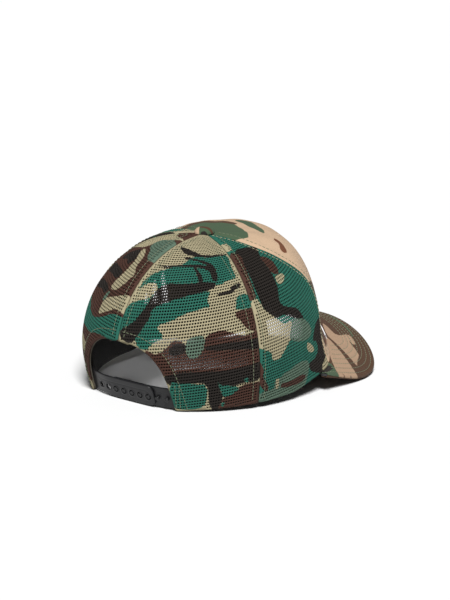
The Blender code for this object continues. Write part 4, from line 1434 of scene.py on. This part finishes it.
def side_label():
    """Blank white woven tab: a folded loop whose ends are caught in the front panel's lower seam."""
    phi = np.radians(np.linspace(LABEL_START, LABEL_END, 24))[None, :]
    turn = np.linspace(0, math.pi, 13)[:, None]
    legs = np.linspace(0, 1, 8)[:, None]
    up = np.concatenate([LABEL_LOW + (LABEL_TOP - LABEL_LOW) * legs, LABEL_TOP + LABEL_FOLD * np.sin(turn),
                         LABEL_TOP - (LABEL_TOP - LABEL_LOW) * legs])
    out = np.concatenate([0.0 * legs, LABEL_FOLD * (1 - np.cos(turn)), 2 * LABEL_FOLD + 0.0 * legs])
    up, out, phi = np.broadcast_arrays(up, out, phi)
    climb = climb_at_height(phi, rim_height(phi) + up)
    face = skin(phi, climb, -LABEL_OUT - out, 0.0)
    points, faces, sides = slab(face, skin(phi, climb, -LABEL_OUT - LABEL_CLOTH - out * 0.55, 0.0))
    run = np.broadcast_to(np.linspace(0, LABEL_RUN, len(up))[:, None], phi.shape)
    flat = np.stack([phi * HALF_WIDTH, run], axis=-1).reshape(-1, 2)
    look = woven_look("label_cloth", (0.78, 0.78, 0.80), 0.00035, 0.06, 0.7)
    both = np.concatenate([flat, flat])
    made = new_object("side_label_cloth", points, faces, look, flat=both, sides=sides)
    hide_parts("side_label")


# ---------------------------------------------------------------- snap straps


def hinge_line():
    """Ends of the wearer's right strap's hinge line, low and high, mid-way through the strap."""
    height = np.array([STRAP_LOW, STRAP_HIGH])
    middle = STRAP_DEPTH + STRAP / 2
    phi = angle_at_x(np.full(2, -HINGE_X), height, middle)
    return skin(phi, climb_at_height(phi, height), middle, 0.0)


def strap_y(x, height, outer):
    """y of a strap's mid face. Past the hinge it follows the crown. The outer strap lies over the inner."""
    low, high = hinge_line()
    base = low[1] + (high[1] - low[1]) * (height - low[2]) / (high[2] - low[2])
    bow = STRAP_BOW * (1 - np.minimum(np.abs(x) / HINGE_X, 1) ** STRAP_BOW_POWER)
    step = STRAP_STEP * smooth((HINGE_X - x) / (HINGE_X - STRAP_STEP_END)) if outer else 0.0
    middle = STRAP_DEPTH + STRAP / 2
    phi = angle_at_x(-np.maximum(np.abs(x), HINGE_X), height, middle)
    sewn = skin(phi, climb_at_height(phi, height), middle, 0.0)[..., 1]
    return np.where(np.abs(x) < HINGE_X, base + bow + step, sewn)


def snap_x(index):
    return FIRST_HOLE_X - SNAP_PITCH * index


def strap_outline(root, tip, inset):
    """Outline of a strap seen from behind, square at its sewn end and rounded at its tip, pulled in."""
    toward = 1.0 if root > tip else -1.0
    low, high = STRAP_LOW + inset, STRAP_HIGH - inset
    end = tip + toward * inset
    corner = STRAP_CORNER - inset
    turn = np.linspace(0, math.pi / 2, 9)
    x = end + toward * corner * (1 - np.sin(turn))
    fall = corner * (1 - np.cos(turn))
    upper = np.stack([x, high - fall], axis=1)
    lower = np.stack([x, low + fall], axis=1)[::-1]
    start = root - toward * inset
    line = np.concatenate([[(start, high)], upper, lower, [(start, low)]])
    line = resampled(np.concatenate([line, line[:1]]), 0.0009)[:-1]
    return line if toward > 0 else line[::-1]


def circle(centre, radius, count=28):
    turn = np.linspace(0, 2 * math.pi, count, endpoint=False)
    return np.array(centre) + radius * np.stack([np.cos(turn), np.sin(turn)], axis=1)


def groove_line(root, tip):
    """The moulded line that runs above the snaps and back round the last one."""
    toward = 1.0 if root > tip else -1.0
    end = tip + toward * GROOVE_TIP_GAP
    turn = np.linspace(math.pi / 2, 1.5 * math.pi, 15)
    reach = GROOVE_RISE
    arc = np.stack([end + reach * toward + toward * reach * np.cos(turn),
                    SNAP_Z + GROOVE_OVER_SNAPS + reach * np.sin(turn)], axis=1)
    return np.concatenate([[(HINGE_X * GROOVE_START * toward, SNAP_Z + GROOVE_OVER_SNAPS + reach)], arc])


def strap_plate(root, tip, holes):
    """Moulded strap: mid-face points (x, z), how thick it is at each, and its two faces' triangles."""
    loops = [strap_outline(root, tip, inset) for inset in EDGE_INSETS]
    for x in holes:
        loops += [circle((x, SNAP_Z), HOLE_RADIUS + inset) for inset in HOLE_INSETS]
    low_x, high_x = min(root, tip), max(root, tip)
    across = np.arange(low_x + 0.001, high_x - 0.0008, PLATE_GRID[0])
    upward = np.arange(STRAP_LOW + 0.0009, STRAP_HIGH - 0.0008, PLATE_GRID[1])
    inside = np.stack(np.meshgrid(across, upward), axis=-1).reshape(-1, 2)
    clear = signed_distance(inside, loops[0]) < -0.0007
    for x in holes:
        clear &= np.hypot(inside[:, 0] - x, inside[:, 1] - SNAP_Z) > HOLE_RADIUS + 0.0010
    inside = inside[clear]
    edges, points = [], []
    for loop in loops:
        start = len(points)
        points += loop.tolist()
        edges += [(start + i, start + (i + 1) % len(loop)) for i in range(len(loop))]
    points = np.array(points + inside.tolist())
    verts, _, faces, origins, _, _ = delaunay_2d_cdt([Vector(p) for p in points * 1000], edges, [], 0, 1e-6)
    source = np.array([origin[0] if origin else -1 for origin in origins])
    triangles = np.array([face for face in faces if len(face) == 3])
    triangles = source[triangles]
    centres = points[triangles].mean(axis=1)
    keep = (triangles >= 0).all(axis=1) & inside_polygon(centres, loops[0])
    for x in holes:
        keep &= np.hypot(centres[:, 0] - x, centres[:, 1] - SNAP_Z) > HOLE_RADIUS * 0.995
    triangles = triangles[keep]
    starts = np.cumsum([0] + [len(loop) for loop in loops])
    outer_loops = range(0, len(loops), len(EDGE_INSETS))
    borders = [np.arange(starts[index], starts[index + 1]) for index in outer_loops]
    away = -signed_distance(points, loops[0])
    for x in holes:
        away = np.minimum(away, np.hypot(points[:, 0] - x, points[:, 1] - SNAP_Z) - HOLE_RADIUS)
    return points, np.maximum(away, 0.0), triangles, borders


def rounded_edge(away):
    """How far a strap's face falls at a distance from its nearest edge."""
    inward = STRAP_EDGE - np.minimum(away, STRAP_EDGE)
    return STRAP_EDGE - np.sqrt(np.maximum(STRAP_EDGE**2 - inward**2, 0.0))


def strap_relief(points, away, root, tip, holes):
    """Height of a strap's outer face over its mid face."""
    line = groove_line(root, tip)
    groove = distance_to_edges(points, line[:-1], line[1:])
    height = STRAP / 2 - rounded_edge(away) - GROOVE_DEPTH * smooth(1 - groove / GROOVE_HALF_WIDTH)
    for x in holes:
        ring = np.hypot(points[:, 0] - x, points[:, 1] - SNAP_Z) - HOLE_RADIUS
        height = height + LIP_RISE * smooth(ring / 0.0003) * smooth((0.0013 - ring) / 0.0004)
    return height


def strap_frame(points, outer):
    """Places on a strap's mid face and the outward normals there, for points (x, z)."""
    x, z = points[:, 0], points[:, 1]
    step = 1e-4
    y = strap_y(x, z, outer)
    slope_x = (strap_y(x + step, z, outer) - strap_y(x - step, z, outer)) / (2 * step)
    slope_z = (strap_y(x, z + step, outer) - strap_y(x, z - step, outer)) / (2 * step)
    return np.stack([x, y, z], axis=1), unit(np.stack([-slope_x, np.ones(len(x)), -slope_z], axis=1))


def strap_points(root, tip, holes, outer):
    points, away, triangles, borders = strap_plate(root, tip, holes)
    middle, normal = strap_frame(points, outer)
    front = middle + normal * strap_relief(points, away, root, tip, holes)[:, None]
    back = middle - normal * (STRAP / 2 - rounded_edge(away))[:, None]
    a, b, c = (points[triangles[:, i]] for i in range(3))
    area = (b[:, 0] - a[:, 0]) * (c[:, 1] - a[:, 1]) - (b[:, 1] - a[:, 1]) * (c[:, 0] - a[:, 0])
    triangles = np.where((area > 0)[:, None], triangles[:, ::-1], triangles)
    count = len(points)
    walls = []
    for border in borders:
        after = np.roll(border, -1)
        line = points[border]
        turned = (line[:, 0] * np.roll(line[:, 1], -1) - np.roll(line[:, 0], -1) * line[:, 1]).sum() > 0
        wall = np.stack([after, border, border + count, after + count], axis=1)
        outer_loop = border[0] == 0
        walls.append(wall if turned != outer_loop else wall[:, ::-1])
    walls = np.concatenate(walls)
    return np.concatenate([front, back]), [triangles, triangles[:, ::-1] + count, walls]


def peg(x):
    """Mushroom snap on the inner strap, standing out through a hole of the outer one."""
    point = np.array([[x, SNAP_Z]])
    middle, normal = strap_frame(point, True)
    turn = np.linspace(0, 2 * math.pi, PEG_SIDES, endpoint=False)
    along = unit(np.cross(normal[0], (0.0, 0.0, 1.0)))
    upward = np.cross(along, normal[0])
    ring = np.cos(turn)[:, None] * along + np.sin(turn)[:, None] * upward
    rows = [middle[0] + ring * radius + normal[0] * height for radius, height in PEG_PROFILE]
    ends = [middle[0] + normal[0] * PEG_PROFILE[end][1] for end in (0, -1)]
    points = np.concatenate(rows + [np.array(ends)])
    index = np.arange(len(PEG_PROFILE) * PEG_SIDES).reshape(-1, PEG_SIDES)
    after = np.roll(index, -1, axis=1)
    quads = np.stack([index[:-1], after[:-1], after[1:], index[1:]], axis=-1).reshape(-1, 4)
    low = np.stack([after[0], index[0], np.full(PEG_SIDES, len(points) - 2)], axis=1)
    high = np.stack([index[-1], after[-1], np.full(PEG_SIDES, len(points) - 1)], axis=1)
    inward = np.cross(along, upward) @ normal[0] < 0
    faces = [quads, low, high]
    return points, [part[:, ::-1] for part in faces] if inward else faces


def straps():
    look = solid_look("strap_plastic", (0.009, 0.009, 0.010), 0.36, 700.0, 0.10, 0.00003, specular=0.30)
    sewn = HINGE_X + TAB_LENGTH
    holes = [snap_x(index) for index in range(SNAP_COUNT)]
    points, faces = strap_points(sewn, OUTER_TIP_X, holes, True)
    left = new_object("strap_left_with_tab", points, faces, look, body=None)
    points, faces = strap_points(-sewn, INNER_TIP_X, [], False)
    for index in range(FIRST_PEG_HOLE, FIRST_PEG_HOLE + SNAP_COUNT):
        more, more_faces = peg(snap_x(index))
        faces += [part + len(points) for part in more_faces]
        points = np.concatenate([points, more])
    right = new_object("strap_right_with_tab", points, faces, look, body=None)
    for made, side, sign in ((left, "left", -1.0), (right, "right", 1.0)):
        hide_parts("strap_" + side, "strap_tab_" + side)
        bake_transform(made)


# ---------------------------------------------------------------- sewing


def on_panel(panel, line, rise=0.0, flip=False):
    """A flat line as points and normals on the crown."""
    line = resampled(line, STITCH_LINE_STEP)
    phi, climb = panel.place(line)
    points, normals = skin(phi, climb, -rise), outward(phi, climb)
    mirror = (-1.0, 1.0, 1.0) if flip else (1.0, 1.0, 1.0)
    return points * mirror, normals * mirror


def sew(name, lines, look, step=STITCH_STEP, length=STITCH):
    """Runs of lock stitches: each stitch a short bent thread whose ends dip into the cloth."""
    share = np.linspace(0, 1, 7)
    turn = np.linspace(0, 2 * math.pi, 7)[:-1]
    height = THREAD * (0.55 - 1.55 * (2 * share - 1) ** 4)
    thick = THREAD * (1 - 0.45 * (2 * share - 1) ** 4)
    all_points, all_faces, all_flat = [], [], []
    count = 0
    for points, normals in lines:
        run = np.concatenate([[0.0], np.cumsum(np.linalg.norm(np.diff(points, axis=0), axis=1))])
        starts = np.arange(step * 0.3, run[-1] - length, step)
        at = starts[:, None] + share[None, :] * length
        place = np.stack([np.interp(at, run, points[:, i]) for i in range(3)], axis=-1)
        normal = unit(np.stack([np.interp(at, run, normals[:, i]) for i in range(3)], axis=-1))
        place = place + normal * height[None, :, None]
        along = unit(np.gradient(place, axis=1))
        side = unit(np.cross(along, normal))
        up = np.cross(side, along)
        ring = np.cos(turn)[:, None] * side[:, :, None] + np.sin(turn)[:, None] * up[:, :, None]
        tube = place[:, :, None] + ring * thick[None, :, None, None]
        many = len(starts)
        index = count + np.arange(many * 42).reshape(many, 7, 6)
        after = np.roll(index, -1, axis=2)
        quads = np.stack([index[:, :-1], after[:, :-1], after[:, 1:], index[:, 1:]], axis=-1).reshape(-1, 4)
        all_points.append(tube.reshape(-1, 3))
        all_faces += [quads[:, ::-1], index[:, 0], index[:, -1][:, ::-1]]
        around = np.broadcast_to(turn * THREAD, (many, 7, 6))
        lengthwise = np.broadcast_to(at[:, :, None], (many, 7, 6))
        all_flat.append(np.stack([lengthwise, around], axis=-1).reshape(-1, 2))
        count += many * 42
    faces = [part for corners in (4, 6) for part in all_faces if part.shape[1] == corners]
    sides = np.zeros(sum(len(part) for part in faces))
    points, flat = np.concatenate(all_points), np.concatenate(all_flat)
    return new_object(name, points, faces, look, flat=flat, sides=sides)


def sewing(visor_rows, band_rows):
    olive = thread_look("olive_thread", (0.13, 0.15, 0.085))
    dark = thread_look("dark_thread", (0.05, 0.045, 0.035))
    khaki = thread_look("khaki_thread", (0.30, 0.28, 0.17))
    side, back, front = Panel(86), Panel(147.75), Panel(0)
    low = arch_top_share()
    olive_lines, khaki_lines = [], []
    for flip in (False, True):
        across = panel_line(side, side_seam, 0.01, 0.975)
        olive_lines.append(on_panel(side, beside(across, SIDE_STITCH_GAP), FOLD_RISE, flip))
        across = panel_line(back, side_seam, 0.01, 0.975)
        olive_lines.append(on_panel(back, beside(across, -BACK_SIDE_STITCH_GAP), FOLD_RISE, flip))
        across = panel_line(back, back_seam, low + 0.02, 0.965)
        olive_lines.append(on_panel(back, beside(across, BACK_STITCH_GAP), FOLD_RISE, flip))
        round_arch = arch_line(back, ARCH_STITCH_GAP, math.pi / 2, 120)
        olive_lines.append(on_panel(back, round_arch, FOLD_RISE, flip))
        for u in LEG_STITCHES:
            upright = np.stack([np.full(30, u), np.linspace(LEG_STITCH_FROM, LEG_STITCH_TO, 30)], axis=1)
            olive_lines.append(on_panel(back, upright, FOLD_RISE, flip))
        across = panel_line(side, front_seam, 0.02, 0.97)
        khaki_lines.append(on_panel(side, beside(across, -SIDE_FRONT_STITCH_GAP), FOLD_RISE, flip))
        across = panel_line(front, front_seam, 0.02, 0.97)
        olive_lines.append(on_panel(front, beside(across, FRONT_STITCH_GAP), 0.0, flip))
    sew("crown_topstitching", olive_lines, olive)
    sew("front_seam_stitching", khaki_lines, khaki)
    sew("visor_stitching", visor_rows, olive, VISOR_STITCH_STEP, VISOR_STITCH)
    sew("sweatband_stitching", band_rows, dark)


# ---------------------------------------------------------------- camera, light and floor


def direction(azimuth, elevation):
    """Unit vector towards an azimuth and elevation of the view's kind, in degrees."""
    turn, rise = math.radians(azimuth), math.radians(elevation)
    return Vector((math.sin(turn) * math.cos(rise), -math.cos(turn) * math.cos(rise), math.sin(rise)))


def put_camera():
    """Camera behind the wearer's right side, a little above the rim."""
    back = direction(*CAMERA_FROM)
    right = (-back).cross(Vector((0, 0, 1))).normalized()
    up = right.cross(-back)
    turned = Matrix((right, up, back)).transposed().to_4x4()
    placed = STAND @ Matrix.Translation(Vector((0, 0, CAMERA_AIM_HEIGHT)) + back * CAMERA_DISTANCE) @ turned
    data = bpy.data.cameras.new("camera")
    data.lens = CAMERA_LENS
    data.sensor_width = 36.0
    data.shift_x, data.shift_y = CAMERA_SHIFT
    data.clip_start = 0.1
    made = bpy.data.objects.new("camera", data)
    made.matrix_world = placed
    bpy.context.scene.collection.objects.link(made)
    bpy.context.scene.camera = made


def sun(name, azimuth, elevation, softness, strength):
    """Soft directional light from an azimuth and elevation of the view's kind, in degrees."""
    data = bpy.data.lights.new(name, "SUN")
    data.angle = math.radians(softness)
    data.energy = strength
    made = bpy.data.objects.new(name, data)
    toward = direction(azimuth, elevation)
    made.rotation_euler = toward.to_track_quat("Z", "Y").to_euler()
    made.location = toward * 2.0
    bpy.context.scene.collection.objects.link(made)


def set_stage():
    world = bpy.data.worlds.new("studio")
    world.use_nodes = True
    world.node_tree.nodes["Background"].inputs["Color"].default_value = (1.0, 1.0, 1.0, 1.0)
    world.node_tree.nodes["Background"].inputs["Strength"].default_value = WORLD_LIGHT
    bpy.context.scene.world = world
    bpy.context.scene.view_settings.view_transform = "Standard"
    sun("key", *KEY_FROM, KEY_SOFTNESS, KEY_LIGHT)
    floor = bpy.data.meshes.new("floor")
    corners = [(x * FLOOR_HALF, y * FLOOR_HALF, 0) for x, y in ((-1, -1), (1, -1), (1, 1), (-1, 1))]
    floor.from_pydata(corners, [], [(0, 1, 2, 3)])
    look = Look("pale_floor", 0.9, 0.05)
    place = look.node("ShaderNodeTexCoord", {}, "Object")
    grey = (FLOOR_TONE,) * 3
    look.color(look.scaled(look.plain(grey), look.around_one(look.noise(place, 3.0), 0.01)))
    floor.materials.append(look.material)
    made = bpy.data.objects.new("floor", floor)
    bpy.context.scene.collection.objects.link(made)


STAND = standing()
put_camera()
set_stage()
mesh_panels()
front_panel()
tape = woven_look("seam_tape", (0.10, 0.09, 0.05), 0.0007, 0.20)
seam_tapes(tape)
arch_facing(woven_look("arch_facing_cloth", (0.085, 0.070, 0.045), 0.0008, 0.25))
foam_backing()
band_rows = sweatband()
visor_rows = visor_covers()
board = solid_look("board_plastic", (0.04, 0.04, 0.042), 0.5, 300.0, 0.03, 0.00003)
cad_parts["visor_board"].data.materials[0] = board
button()
side_label()
straps()
sewing(visor_rows, band_rows)
